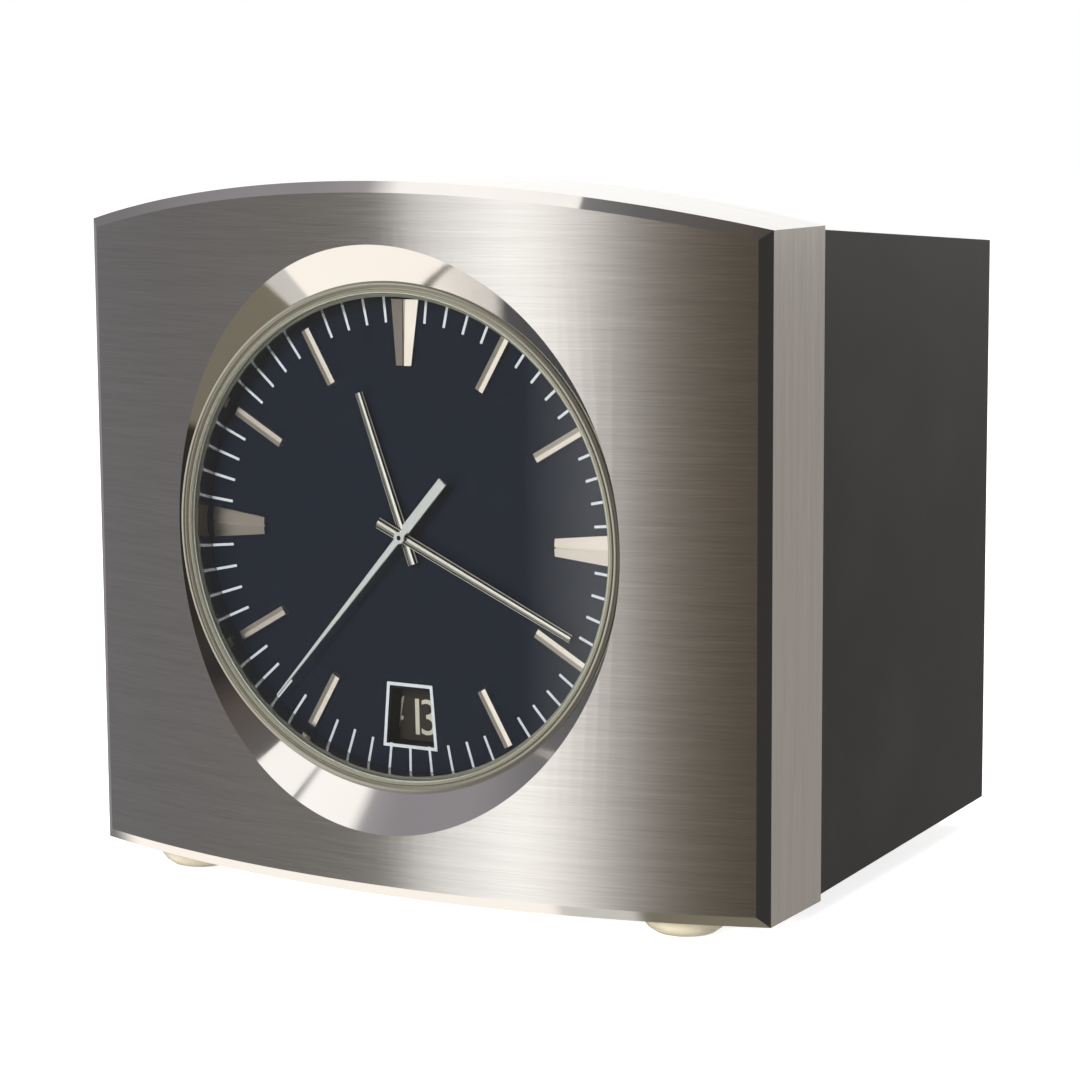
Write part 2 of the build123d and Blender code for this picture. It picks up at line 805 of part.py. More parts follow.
def clamp_screws():
    """Screws of the movement clamps."""
    depth = clamp_thickness + small_screw_depth * (1 - slot_depth_share / 2)
    return [slotted_screw(small_screw_radius, small_head_radius, small_head_height, depth,
                          block_depth + clamp_thickness, place) for place in clamp_screw_places()]


def circuit_board():
    """Board above the motor, with holes for its two screws."""
    board = slab(board_width, board_height, board_front, board_back, (0, board_rise))
    for side in (-1, 1):
        place = (side * standoff_spread, standoff_rise)
        board -= hole(small_screw_radius + screw_clearance, board_front, board_back, place)
    return board


def board_screws():
    """Screws that hold the circuit board on its standoffs."""
    depth = board_thickness + standoff_length * (1 - slot_depth_share / 2)
    return [slotted_screw(small_screw_radius, small_head_radius, small_head_height, depth, board_back,
                          (side * standoff_spread, standoff_rise)) for side in (-1, 1)]


def quartz_can():
    """Metal can of the time-keeping crystal, with rounded sides."""
    face = make_face(Polyline(
        (-quartz_can_width / 2, -quartz_can_height / 2), (quartz_can_width / 2, -quartz_can_height / 2),
        (quartz_can_width / 2, quartz_can_height / 2),
        (-quartz_can_width / 2, quartz_can_height / 2), close=True))
    can = prism(face, board_back, board_back + quartz_can_depth)
    upright = can.edges().filter_by(Axis.Y)
    return Pos(quartz_middle, board_rise, 0) * fillet(upright.sort_by(Axis.Z)[:2], quartz_can_depth / 2)


def driver_chip():
    """Integrated circuit that divides the crystal's beat and drives the coil."""
    return slab(chip_width, chip_length, board_back, board_back + chip_height, (chip_offset, board_rise))


def trimmer():
    """Small adjustable capacitor with a slotted top."""
    place = (trimmer_middle, board_rise + trimmer_radius)
    body = disc(trimmer_radius, board_back, board_back + trimmer_height, place)
    slot_floor = board_back + trimmer_height * (1 - slot_depth_share)
    return body - slab(2 * trimmer_radius, trimmer_slot, slot_floor,
                       board_back + trimmer_height + overrun, place)


def case_section(wall, depth):
    """Outline of the tapered case at a depth, inset by a wall."""
    share = (depth - block_depth) / case_depth
    inset = case_inset + wall
    width = block_width - 2 * (inset + case_side_taper * share)
    top = side_top - inset - case_top_taper * share
    bottom = underside + inset + case_bottom_taper * share
    return Pos(0, 0, -depth) * block_outline(width, bottom, top, block_crown)


def case_half_width(depth):
    """Inner half width of the case at a depth."""
    return half_width - case_inset - case_wall - case_side_taper * (depth - block_depth) / case_depth


def post_places():
    """Where the back cover is screwed to the case, beside its side walls."""
    x = case_half_width(cover_front) - post_radius
    low = underside + case_inset + case_bottom_taper + case_wall + post_bottom_rise
    high = side_top - case_inset - case_wall - case_top_taper - post_top_drop
    return [(side * x, y) for side in (-1, 1) for y in (low, high)]


def rear_case():
    """Dark tapered shell with a front wall round the movement, screw posts and pads for the rear feet."""
    wall_back = block_depth + case_wall
    shell = loft([case_section(0, block_depth), case_section(0, case_back)], ruled=True)
    hollow = loft([case_section(case_wall, wall_back), case_section(case_wall, case_back + overrun)],
                  ruled=True)
    posts = Part()
    for x, y in post_places():
        side = math.copysign(1, x)
        reach = post_radius + case_wall
        post = disc(post_radius, cover_front - post_length, cover_front, (x, y))
        web_middle = x + side * reach / 2
        post += slab(reach, 2 * post_radius, cover_front - post_length, cover_front, (web_middle, y))
        posts += post
    case = shell - hollow + (posts & shell)
    case -= hole(case_window_radius, block_depth, wall_back)
    for place in case_screw_places():
        case -= hole(large_screw_radius + screw_clearance, block_depth, wall_back, place)
    hole_front = cover_front - large_screw_depth
    for place in post_places():
        case -= disc(large_screw_radius + screw_clearance, hole_front, cover_front + overrun, place)
    for side in (-1, 1):
        pad = Cylinder(foot_radius + foot_pad_margin, case_inset + case_bottom_taper + case_wall / 2,
                       rotation=(90, 0, 0), align=(Align.CENTER, Align.CENTER, Align.MAX))
        case += Pos(side * foot_spread, underside, rear_foot_margin - case_back) * pad
    return case


def case_screws():
    """Screws through the case's front wall into the block."""
    depth = case_wall + large_screw_depth * (1 - slot_depth_share / 2)
    return [slotted_screw(large_screw_radius, large_head_radius, large_head_height, depth,
                          block_depth + case_wall, place) for place in case_screw_places()]


def back_cover():
    """Recessed rear cover with the battery opening, the hinge sockets and the stem's bush."""
    front_face = case_section(case_wall + cover_clearance, cover_front)
    back_face = case_section(case_wall + cover_clearance, cover_back)
    cover = loft([front_face, back_face], ruled=True)
    opening = (tray_inner_width, tray_inner_height)
    cover -= slab(*opening, cover_front - overrun, cover_back + overrun, (0, -hatch_drop))
    socket_span = hatch_width + 2 * (hatch_pin_length + hatch_clearance)
    cover -= hatch_rod(hatch_pin_radius + hatch_pin_clearance, socket_span)
    for place in post_places():
        cover -= hole(large_screw_radius + screw_clearance, cover_front, cover_back, place)
    return cover - hole(stem_radius + running_clearance, cover_front, cover_back, stem_place)


def hatch_rod(radius, length):
    """Round bar along the hatch's hinge axis."""
    return Pos(0, hatch_axis_height, -hatch_axis_depth) * Cylinder(radius, length, rotation=(0, 90, 0))


def battery_hatch():
    """Hatch that swings down on two pins, with a rounded hinge edge, a thumb groove and an inner tab."""
    plate_height = hatch_top - hatch_axis_height
    plate_middle = (hatch_top + hatch_axis_height) / 2
    hatch = slab(hatch_width, plate_height, cover_front, cover_back, (0, plate_middle))
    hatch += hatch_rod(cover_thickness / 2, hatch_width)
    hatch += hatch_rod(hatch_pin_radius, hatch_width + 2 * hatch_pin_length)
    tab_height = hatch_top - hatch_tab_drop
    hatch += slab(hatch_tab_width, hatch_tab_thickness, cover_front - hatch_tab_length, cover_front,
                  (0, tab_height))
    groove_centre = cover_back + thumb_groove_radius - thumb_groove_depth
    groove_height = hatch_top - thumb_groove_radius
    groove = Cylinder(thumb_groove_radius, thumb_groove_width, rotation=(0, 90, 0))
    return hatch - Pos(0, groove_height, -groove_centre) * groove


def cover_screws():
    """Screws of the back cover."""
    depth = cover_thickness + large_screw_depth * (1 - slot_depth_share / 2)
    return [slotted_screw(large_screw_radius, large_head_radius, large_head_height, depth, cover_back,
                          place)
            for place in post_places()]


def battery_tray():
    """Open tray behind the hatch, fixed to the inside of the cover."""
    width = tray_inner_width + 2 * tray_wall
    height = tray_inner_height + 2 * tray_wall
    tray = slab(width, height, tray_front, tray_back, (0, -hatch_drop))
    tray -= slab(tray_inner_width, tray_inner_height, tray_front + tray_wall, tray_back + overrun,
                 (0, -hatch_drop))
    for side in (-1, 1):
        slot_x = side * (tray_inner_width / 2 - contact_thickness / 2)
        slot = slab(contact_thickness, contact_tag_width, tray_front - overrun,
                    tray_front + tray_wall + overrun)
        tray -= Pos(slot_x, -hatch_drop, 0) * slot
    return tray


def battery_contacts():
    """Spring plates at both ends of the battery, each with a tag through the tray's floor."""
    contacts = []
    for side in (-1, 1):
        x = side * (tray_inner_width / 2 - contact_thickness / 2)
        middle = (x, -hatch_drop)
        plate = slab(contact_thickness, contact_width, tray_front + tray_wall,
                     battery_depth + battery_radius, middle)
        tag_front = tray_front - contact_tag_length
        plate += slab(contact_thickness, contact_tag_width, tag_front, tray_front + tray_wall, middle)
        contacts.append(plate)
    return contacts


def battery():
    """Round dry cell with its raised pole."""
    left = -(battery_length + battery_tip_length) / 2
    body = Cylinder(battery_radius, battery_length, rotation=(0, 90, 0),
                    align=(Align.CENTER, Align.CENTER, Align.MIN))
    pole = Cylinder(battery_tip_radius, battery_tip_length, rotation=(0, 90, 0),
                    align=(Align.CENTER, Align.CENTER, Align.MIN))
    cell = Pos(left, 0, 0) * body + Pos(left + battery_length, 0, 0) * pole
    return Pos(0, -hatch_drop, -battery_depth) * cell


def battery_leads():
    """Insulated wires from the tray's tags to the ends of the circuit board."""
    leads = []
    for side in (-1, 1):
        tag_x = side * (tray_inner_width / 2 - contact_thickness / 2)
        pad_x = side * (board_width / 2 - component_margin / 2)
        pad_y = board_rise - board_height / 2 + component_margin
        tag_depth = tray_front - contact_tag_length
        route = FilletPolyline(
            (tag_x, -hatch_drop, -tag_depth), (tag_x, -hatch_drop, lead_run - tag_depth),
            (pad_x, pad_y, -board_back - lead_run), (pad_x, pad_y, -board_back), radius=lead_bend_radius)
        start = Plane(origin=(tag_x, -hatch_drop, -tag_depth), z_dir=(0, 0, 1))
        leads.append(sweep(start * Circle(lead_radius), path=route))
    return leads


def setting_stem():
    """Long stem from the motion work to the rear knob, with the setting pinion at its front end."""
    direction = motion_angle
    phase = mesh_phase(minute_wheel_teeth, minute_wheel_phase, setting_teeth, direction)
    stem = gear(setting_teeth, motion_module, minute_wheel_front, minute_wheel_back, phase, stem_place)
    stem += disc(stem_front_radius, minute_wheel_front, back_plate_front - train_gap, stem_place)
    return stem + disc(stem_radius, back_plate_front - train_gap, case_back - 2 * knob_inset, stem_place)


def setting_knob():
    """Fluted knob pressed on the stem's rear end."""
    front = cover_back + knob_gap
    back = case_back - knob_inset
    face = toothed_face(knob_flutes, knob_radius, knob_radius - knob_flute_depth, knob_tip_share,
                        knob_root_share)
    knob = Pos(stem_place[0], stem_place[1], 0) * prism(face, front, back)
    return knob - disc(stem_radius, front - overrun, case_back - 2 * knob_inset, stem_place)


def feet():
    """Four soft domes stuck under block and case."""
    profile = make_face([
        Line((0, 0), (foot_flat_radius, 0)),
        RadiusArc((foot_flat_radius, 0), (foot_radius, foot_height - foot_rim), foot_radius),
        Line((foot_radius, foot_height - foot_rim), (foot_radius, foot_height)),
        Line((foot_radius, foot_height), (0, foot_height)),
        Line((0, foot_height), (0, 0)),
    ])
    dome = revolve(profile, Axis.Y)
    places = [(side * foot_spread, depth) for depth in (front_foot_depth, case_back - rear_foot_margin)
              for side in (-1, 1)]
    return [Pos(x, underside - foot_height, -depth) * dome for x, depth in places]


pieces = (
    front_block, crystal_ring, crystal_gasket, crystal, dial_flange, dial, wedge_markers, baton_markers,
    hour_hand, minute_hand, seconds_hand, cannon_pinion, centre_wheel, hour_wheel, minute_wheel,
    date_wheel, date_ring, date_jumper, spacer_ring, main_plate, plate_pillars, back_plate, plate_screws,
    third_wheel, seconds_arbor, motor_rotor, motor_can, motor_coil, movement_holder, movement_clamps,
    clamp_screws, circuit_board, board_screws, quartz_can, driver_chip, trimmer, rear_case, case_screws,
    back_cover, battery_hatch, cover_screws, battery_tray, battery_contacts, battery, battery_leads,
    setting_stem, setting_knob, feet,
)

# The finished part stands on its feet, with +Z up, its front towards -Y and its origin on the floor
# below the middle of its depth.
stand = Plane(origin=(0, -case_back / 2, foot_height + axis_height), x_dir=(1, 0, 0),
              z_dir=(0, -1, 0)).location

os.makedirs("parts", exist_ok=True)
for piece in pieces:
    made = piece()
    solids = [solid for item in (made if isinstance(made, list) else [made]) for solid in item.solids()]
    export_step(Compound([stand * solid for solid in solids]), "parts/" + piece.__name__ + ".step")
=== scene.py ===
import math
import bmesh
import bpy
from mathutils import Matrix, Vector


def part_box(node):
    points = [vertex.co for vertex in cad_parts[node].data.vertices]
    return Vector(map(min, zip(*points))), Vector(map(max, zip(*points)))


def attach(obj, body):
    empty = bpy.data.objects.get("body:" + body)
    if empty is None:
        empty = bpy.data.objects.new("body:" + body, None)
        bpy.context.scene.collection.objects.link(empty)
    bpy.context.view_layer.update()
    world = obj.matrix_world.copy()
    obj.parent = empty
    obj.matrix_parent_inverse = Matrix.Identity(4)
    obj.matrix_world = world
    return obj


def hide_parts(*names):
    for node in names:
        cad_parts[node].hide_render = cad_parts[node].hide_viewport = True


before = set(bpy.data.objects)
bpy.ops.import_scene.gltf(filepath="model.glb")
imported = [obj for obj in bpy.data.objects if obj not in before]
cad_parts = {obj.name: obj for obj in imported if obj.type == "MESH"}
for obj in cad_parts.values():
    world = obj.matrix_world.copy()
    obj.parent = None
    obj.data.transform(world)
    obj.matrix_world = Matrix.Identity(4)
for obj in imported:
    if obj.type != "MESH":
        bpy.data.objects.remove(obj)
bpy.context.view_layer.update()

# Front block: one thick piece of stainless steel with a bowed face and an arched top.
# Milled from bar, its front edges bevelled and polished, its face brushed level and its sides upright.
# The round opening is bored from the front and flares out to a polished cone.
mm = 0.001
block_low, block_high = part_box("front_block")
apex, axis_height = block_low.y, 47.8 * mm
half_width = block_high.x
crown, chamfer_face, chamfer_side = 5.6 * mm, 1.4 * mm, 0.75 * mm
bow_radius, weld = 143.5 * mm, 0.002 * mm
arch_radius = (half_width ** 2 + crown ** 2) / (2 * crown)


def point(name, place):
    """Starts a piece as one vertex, in edit mode."""
    bpy.ops.object.select_all(action="DESELECT")
    bpy.ops.mesh.primitive_plane_add(size=mm)
    piece = bpy.context.object
    piece.name = piece.data.name = name
    bpy.ops.object.mode_set(mode="EDIT")
    bpy.ops.mesh.select_mode(type="VERT")
    bpy.ops.mesh.select_all(action="SELECT")
    bpy.ops.mesh.merge(type="CENTER")
    bpy.ops.transform.translate(value=place)
    return piece


def pull(way):
    """Extrudes what is selected."""
    bpy.ops.mesh.extrude_region_move(TRANSFORM_OT_translate={"value": way})


def pick(kind, test):
    """Selects the vertices or faces in edit mode whose place and normal pass a test."""
    bpy.ops.mesh.select_mode(type=kind)
    bpy.ops.mesh.select_all(action="DESELECT")
    mesh = bpy.context.edit_object.data
    grid = bmesh.from_edit_mesh(mesh)
    if kind == "VERT":
        for corner in grid.verts:
            corner.select_set(test(corner.co, corner.normal))
    else:
        for face in grid.faces:
            face.select_set(test(face.calc_center_median(), face.normal))
    grid.select_flush_mode()
    bmesh.update_edit_mesh(mesh)


def close_up():
    """Merges what lies double, turns the faces outwards and leaves edit mode."""
    bpy.ops.mesh.select_all(action="SELECT")
    bpy.ops.mesh.remove_doubles(threshold=weld)
    bpy.ops.mesh.normals_make_consistent(inside=False)
    bpy.ops.object.mode_set(mode="OBJECT")


def draw(name, places):
    """Draws a line through places and selects it, in edit mode."""
    piece = point(name, places[0])
    for here, there in zip(places, places[1:]):
        pull(there - here)
    bpy.ops.mesh.select_all(action="SELECT")
    return piece


def turned(name, profile, steps=256):
    """Turns a closed profile of radii and depths in millimetres round the opening's axis."""
    places = [Vector((radius * mm, apex + depth * mm, axis_height)) for radius, depth in profile]
    piece = draw(name, places + places[:1])
    bpy.ops.mesh.spin(steps=steps, angle=math.tau, center=(0, 0, axis_height), axis=(0, 1, 0))
    close_up()
    return piece


def take(piece):
    """Selects one piece and nothing else."""
    bpy.ops.object.select_all(action="DESELECT")
    bpy.context.view_layer.objects.active = piece
    piece.select_set(True)


def apply_all(piece):
    """Applies a piece's modifiers in their order."""
    take(piece)
    for modifier in list(piece.modifiers):
        bpy.ops.object.modifier_apply(modifier=modifier.name)


def cut(piece, cutter):
    """Cuts a cutter's shape out of a piece and removes the cutter."""
    opening = piece.modifiers.new("opening", "BOOLEAN")
    opening.operation, opening.solver, opening.object = "DIFFERENCE", "EXACT", cutter
    apply_all(piece)
    bpy.data.objects.remove(cutter)


def smooth(piece, degrees):
    """Shades a piece smooth, with edges sharper than an angle left crisp."""
    take(piece)
    bpy.ops.object.shade_smooth_by_angle(angle=math.radians(degrees))


face_plane = apex + chamfer_side
block = point("front_block_steel", (-half_width, face_plane, block_high.z - crown))
bpy.ops.mesh.spin(steps=60, angle=-2 * math.asin(half_width / arch_radius),
                  center=(0, face_plane, block_high.z - arch_radius), axis=(0, 1, 0))
bpy.ops.mesh.select_all(action="SELECT")
pull((0, 0, -half_width))
bpy.ops.transform.resize(value=(1, 1, 0), center_override=(0, 0, block_low.z))
bpy.ops.mesh.select_all(action="SELECT")
pull((0, block_high.y - face_plane, 0))
bpy.ops.mesh.select_all(action="SELECT")
bpy.ops.mesh.normals_make_consistent(inside=False)
pick("FACE", lambda place, normal: normal.y < -0.9)
bpy.ops.mesh.inset(thickness=chamfer_face, depth=chamfer_side, use_even_offset=True, use_boundary=True)
behind_bow = block_high.y - mm
columns = {round(corner.co.x, 6) for corner in bmesh.from_edit_mesh(block.data).verts
           if corner.co.y < behind_bow}
for column in sorted(columns):
    pick("VERT", lambda place, normal: abs(place.x - column) < weld and place.y < behind_bow)
    bpy.ops.transform.translate(value=(0, bow_radius - math.sqrt(bow_radius ** 2 - column ** 2), 0))
close_up()
flare, bore_radius, recess_radius = math.tan(math.radians(50)), 32.4, 34.4
cut_front, flare_foot, recess_front, cut_back = -6, 3.9, 5.4, 26
cut(block, turned("opening_cutter", [
    (0, cut_front), (bore_radius + (flare_foot - cut_front) * flare, cut_front), (bore_radius, flare_foot),
    (bore_radius, recess_front), (recess_radius, recess_front), (recess_radius, cut_back), (0, cut_back)]))
smooth(block, 18)


def linear(code):
    """Turns an sRGB hex colour into the linear values that a shader takes."""
    parts = [int(code[place:place + 2], 16) / 255 for place in (1, 3, 5)]
    return [part / 12.92 if part <= 0.04045 else ((part + 0.055) / 1.055) ** 2.4 for part in parts] + [1]


def finish(name, values):
    """Starts a material from a Principled shader's uniform values."""
    material = bpy.data.materials.new(name)
    material.use_nodes = True
    shader = material.node_tree.nodes["Principled BSDF"]
    for socket, value in values.items():
        shader.inputs[socket].default_value = value
    return material, shader


def add(material, kind, values, links, into=()):
    """Adds a node with its settings, links its sockets from other nodes' and links it into others."""
    node = material.node_tree.nodes.new(kind)
    for key, value in values.items():
        if isinstance(key, str) and hasattr(node, key):
            setattr(node, key, value)
        else:
            node.inputs[key].default_value = value
    for socket, (source, output) in links.items():
        material.node_tree.links.new(source.outputs[output], node.inputs[socket])
    for output, target, socket in into:
        material.node_tree.links.new(node.outputs[output], target.inputs[socket])
    return node


def patches(material, size, detail, roughness=0.5):
    """Adds a noise whose patches have a size in millimetres."""
    spot = add(material, "ShaderNodeTexCoord", {}, {})
    return add(material, "ShaderNodeTexNoise",
               {"Scale": 1 / (size * mm), "Detail": detail, "Roughness": roughness},
               {"Vector": (spot, "Object")})


def strokes(material, lengths, detail):
    """Adds a noise drawn out to strokes, with a length in millimetres along each axis."""
    spot = add(material, "ShaderNodeTexCoord", {}, {})
    drawn = add(material, "ShaderNodeMapping", {"Scale": [1 / (length * mm) for length in lengths]},
                {"Vector": (spot, "Object")})
    return add(material, "ShaderNodeTexNoise", {"Scale": 1, "Detail": detail}, {"Vector": (drawn, "Vector")})


def tint(material, shader, pattern, first, second):
    """Blends the base colour between two sRGB colours by a pattern."""
    add(material, "ShaderNodeMix", {"data_type": "RGBA", 6: linear(first), 7: linear(second)}, {0: pattern},
        [(2, shader, "Base Color")])


def roughen(material, shader, pattern, low, high):
    """Lets the roughness follow a pattern between two values."""
    add(material, "ShaderNodeMapRange", {"To Min": low, "To Max": high}, {"Value": pattern},
        [("Result", shader, "Roughness")])


# Brushed stainless steel: fine parallel scratches stretch each reflection across the grain.
# The scratches are 0.05 mm wide on the real one and are drawn at 0.16 mm, so that they show.
brushed_steel, shader = finish("stainless_steel_brushed", {
    "Metallic": 1, "Roughness": 0.24, "Anisotropic": 0.75, "Anisotropic Rotation": 0.25})
grain = add(brushed_steel, "ShaderNodeUVMap", {"uv_map": "grain"}, {})
add(brushed_steel, "ShaderNodeTangent", {"direction_type": "UV_MAP", "uv_map": "grain"}, {},
    [("Tangent", shader, "Tangent")])
noises, off_grid = [], (0, 0, 0.6)
for length, width, detail, roughness in ((9, 0.16, 3, 0.6), (30, 1.1, 2, 0.5)):
    drawn = add(brushed_steel, "ShaderNodeMapping",
                {"Scale": (1 / (length * mm), 1 / (width * mm), 1), "Rotation": off_grid},
                {"Vector": (grain, "UV")})
    noises.append(add(brushed_steel, "ShaderNodeTexNoise",
                      {"Scale": 1, "Detail": detail, "Roughness": roughness}, {"Vector": (drawn, "Vector")}))
scratches, drift = noises
both = add(brushed_steel, "ShaderNodeMix", {0: 0.35}, {2: (scratches, "Fac"), 3: (drift, "Fac")})
tone = add(brushed_steel, "ShaderNodeMapRange", {"From Min": 0.3, "From Max": 0.7}, {"Value": (both, 0)})
tint(brushed_steel, shader, (tone, "Result"), "#bdbab5", "#d0cdc9")
roughen(brushed_steel, shader, (scratches, "Fac"), 0.19, 0.29)

# Polished stainless steel: nearly a mirror, with a faint haze from the buffing wheel.
polished_steel, shader = finish("stainless_steel_polished", {
    "Metallic": 1, "Base Color": linear("#cfcbc6"), "Roughness": 0.05})
haze = patches(polished_steel, 4, 4)
roughen(polished_steel, shader, (haze, "Fac"), 0.03, 0.08)

# Bored steel: the turned wall of the opening, left rough as turned, with a darker colour as painted shade
# inside the bore.
bored_steel_painted_shade, shader = finish("stainless_steel_bored_painted_shade", {
    "Metallic": 1, "Base Color": linear("#8d8a86"), "Roughness": 0.45})
marks = strokes(bored_steel_painted_shade, (40, 0.3, 40), 2)
roughen(bored_steel_painted_shade, shader, (marks, "Fac"), 0.35, 0.55)

for material in (brushed_steel, polished_steel, bored_steel_painted_shade):
    block.data.materials.append(material)
grain_map = block.data.uv_layers.new(name="grain")
opening_reach = 36 * mm

# Flare and front bevels are polished, the bore is left as bored and the rest is brushed along each face.
for face in block.data.polygons:
    across = Vector((face.center.x, face.center.z - axis_height))
    inside = across.length < opening_reach and face.normal.xz.dot(across) < 0 and abs(face.normal.y) < 0.9
    bow_normal = Vector((face.center.x, -math.sqrt(bow_radius ** 2 - face.center.x ** 2), 0)).normalized()
    if inside:
        face.material_index = 1 if face.normal.y < -0.5 else 2
    elif face.normal.y < -0.5 and face.normal.dot(bow_normal) < 0.98:
        face.material_index = 1
    for loop in face.loop_indices:
        place = block.data.vertices[block.data.loops[loop].vertex_index].co
        if abs(face.normal.x) > 0.8:
            grain_map.data[loop].uv = (place.z, place.y)
        elif abs(face.normal.z) > 0.8:
            grain_map.data[loop].uv = (place.x, place.y)
        else:
            grain_map.data[loop].uv = (place.x, place.z)
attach(block, "case")
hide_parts("front_block")

# Crystal ring: turned steel ring behind the flare, with the crystal's seat inside it.
# Turned on a lathe and left satin, with broken edges. Pressed against the block's shoulder from behind.
ring = turned("crystal_ring_turned", [
    (31.4, 5.23), (31.4, 4.02), (31.43, 3.95), (31.5, 3.92), (31.57, 3.95), (31.6, 4.02), (31.88, 4.06),
    (31.95, 4.04), (32.06, 3.97), (32.2, 3.92), (32.38, 3.9), (32.38, 5.4), (34.38, 5.4), (34.38, 6.2),
    (31.4, 6.2), (31.4, 5.5), (30.4, 5.5), (30.4, 5.23)])
smooth(ring, 30)

# Satin steel: concentric tool marks 0.12 mm apart, which give a soft olive-grey sheen.
satin_steel, shader = finish("steel_turned_satin", {
    "Metallic": 1, "Base Color": linear("#a9a698"), "Roughness": 0.3})
spot = add(satin_steel, "ShaderNodeTexCoord", {}, {})
centred = add(satin_steel, "ShaderNodeMapping", {"Location": (0, 0, -axis_height), "Scale": (1, 0, 1)},
              {"Vector": (spot, "Object")})
reach = add(satin_steel, "ShaderNodeVectorMath", {"operation": "LENGTH"}, {"Vector": (centred, "Vector")})
grooves = add(satin_steel, "ShaderNodeTexNoise",
              {"noise_dimensions": "1D", "Scale": 1 / (0.12 * mm), "Detail": 2}, {"W": (reach, "Value")})
roughen(satin_steel, shader, (grooves, "Fac"), 0.22, 0.4)
ring.data.materials.append(satin_steel)
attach(ring, "case")
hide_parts("crystal_ring")

# Crystal gasket: thin moulded ring that grips the glass's rim.
# Grey plastic, slightly rounded at the front, pressed in between ring and glass.
gasket = turned("crystal_gasket_moulded", [
    (31.05, 5.2), (31.05, 4.06), (31.1, 4.01), (31.34, 4.01), (31.39, 4.06), (31.39, 5.2)])
smooth(gasket, 60)

# Grey moulded plastic: even and soft, with a faint grain.
grey_plastic, shader = finish("polyamide_moulded_grey", {"Roughness": 0.5, "Specular IOR Level": 0.5})
speckle = patches(grey_plastic, 0.3, 2)
tint(grey_plastic, shader, (speckle, "Fac"), "#6f6c60", "#85826f")
gasket.data.materials.append(grey_plastic)
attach(gasket, "case")
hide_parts("crystal_gasket")

# Crystal: flat mineral glass, held by its rim in the gasket.
# Cut to a disc, its two faces polished and its rim and edges ground matte.
crystal = turned("crystal_ground", [
    (0, 4.0), (30.92, 4.0), (31.04, 4.1), (31.04, 5.1), (30.92, 5.2), (0, 5.2)])
smooth(crystal, 30)

# Mineral glass: clear, with only a thin veil of reflection. Dust gives it a trace of haze.
glass, shader = finish("mineral_glass_polished", {"Transmission Weight": 1, "IOR": 1.45, "Roughness": 0.0})
dust = patches(glass, 6, 5)
tint(glass, shader, (dust, "Fac"), "#f3f6f5", "#fafcfb")

# Ground glass: pale greenish grey and matte, as fine grit leaves it.
ground_glass, shader = finish("mineral_glass_ground", {"Roughness": 0.7})
grit = patches(ground_glass, 0.3, 3)
tint(ground_glass, shader, (grit, "Fac"), "#9fa095", "#b9b9ad")
crystal.data.materials.append(glass)
crystal.data.materials.append(ground_glass)
for face in crystal.data.polygons:
    face.material_index = 0 if abs(face.normal.y) > 0.9 else 1
crystal.visible_shadow = crystal.visible_diffuse = False
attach(crystal, "case")
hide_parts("crystal")

# Dial flange: dark inner wall between the glass's seat and the dial.
# Turned ring with a glossy black lacquer that mirrors the minute lines.
flange = turned("dial_flange_lacquered", [
    (30.4, 5.52), (31.38, 5.52), (31.38, 6.22), (34.36, 6.22), (34.36, 8.24), (30.4, 8.24)])
smooth(flange, 30)

# Black lacquer: many coats, rubbed down and polished to a dark mirror.
black_lacquer, shader = finish("lacquer_glossy_black", {
    "Base Color": linear("#141518"), "Roughness": 0.1, "IOR": 2.2, "Specular IOR Level": 1})
peel = patches(black_lacquer, 6, 2)
roughen(black_lacquer, shader, (peel, "Fac"), 0.06, 0.1)
flange.data.materials.append(black_lacquer)
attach(flange, "case")
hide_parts("dial_flange")

# Dial: thin brass plate in navy-black satin lacquer, with a hole for the pipes and the date window.
# Stamped, lacquered and clamped between the flange and the spacer ring.


def dress(material, *names):
    """Gives CAD nodes a material."""
    for name in names:
        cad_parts[name].material_slots[0].material = material


# Navy lacquer: dark blue-grey and even, with a faint cloud and a satin sheen.
navy_lacquer, shader = finish("lacquer_satin_navy", {"Roughness": 0.5, "Specular IOR Level": 0.2})
cloud = patches(navy_lacquer, 14, 4)
tint(navy_lacquer, shader, (cloud, "Fac"), "#080f1c", "#0b1424")
roughen(navy_lacquer, shader, (cloud, "Fac"), 0.42, 0.56)
dress(navy_lacquer, "dial")

# Minute lines: printed lines at six and between the hours, which run out to the flange.
# White printing ink, laid on as a film and drawn here as thin bars.
dial_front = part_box("dial")[0].y
film = 0.03 * mm
line_width, line_inner, line_outer = 0.34 * mm, 27.06 * mm, 30.38 * mm


def sheet(name, width, height, depth, middle):
    """Starts a piece as an upright rectangle with its middle at a depth and a height, in edit mode."""
    bpy.ops.object.select_all(action="DESELECT")
    bpy.ops.mesh.primitive_plane_add(size=1, rotation=(math.pi / 2, 0, 0))
    piece = bpy.context.object
    piece.name = piece.data.name = name
    bpy.ops.object.transform_apply(location=True, rotation=True, scale=True)
    bpy.ops.object.mode_set(mode="EDIT")
    bpy.ops.transform.resize(value=(width, 1, height))
    bpy.ops.transform.translate(value=(0, depth, middle))
    return piece


def turn_on(share):
    """Turns what is selected round the opening's axis, by a share of a full turn."""
    bpy.ops.transform.rotate(value=share * math.tau, orient_axis="Y", center_override=(0, 0, axis_height))


minute_lines = sheet("minute_lines", line_width, line_outer - line_inner, dial_front,
                     axis_height - (line_inner + line_outer) / 2)
pull((0, -film, 0))
bpy.ops.mesh.select_all(action="SELECT")
minutes = [30] + [minute for minute in range(31, 90) if minute % 5]
for here, there in zip(minutes, minutes[1:]):
    bpy.ops.mesh.duplicate()
    turn_on((there - here) / 60)
close_up()

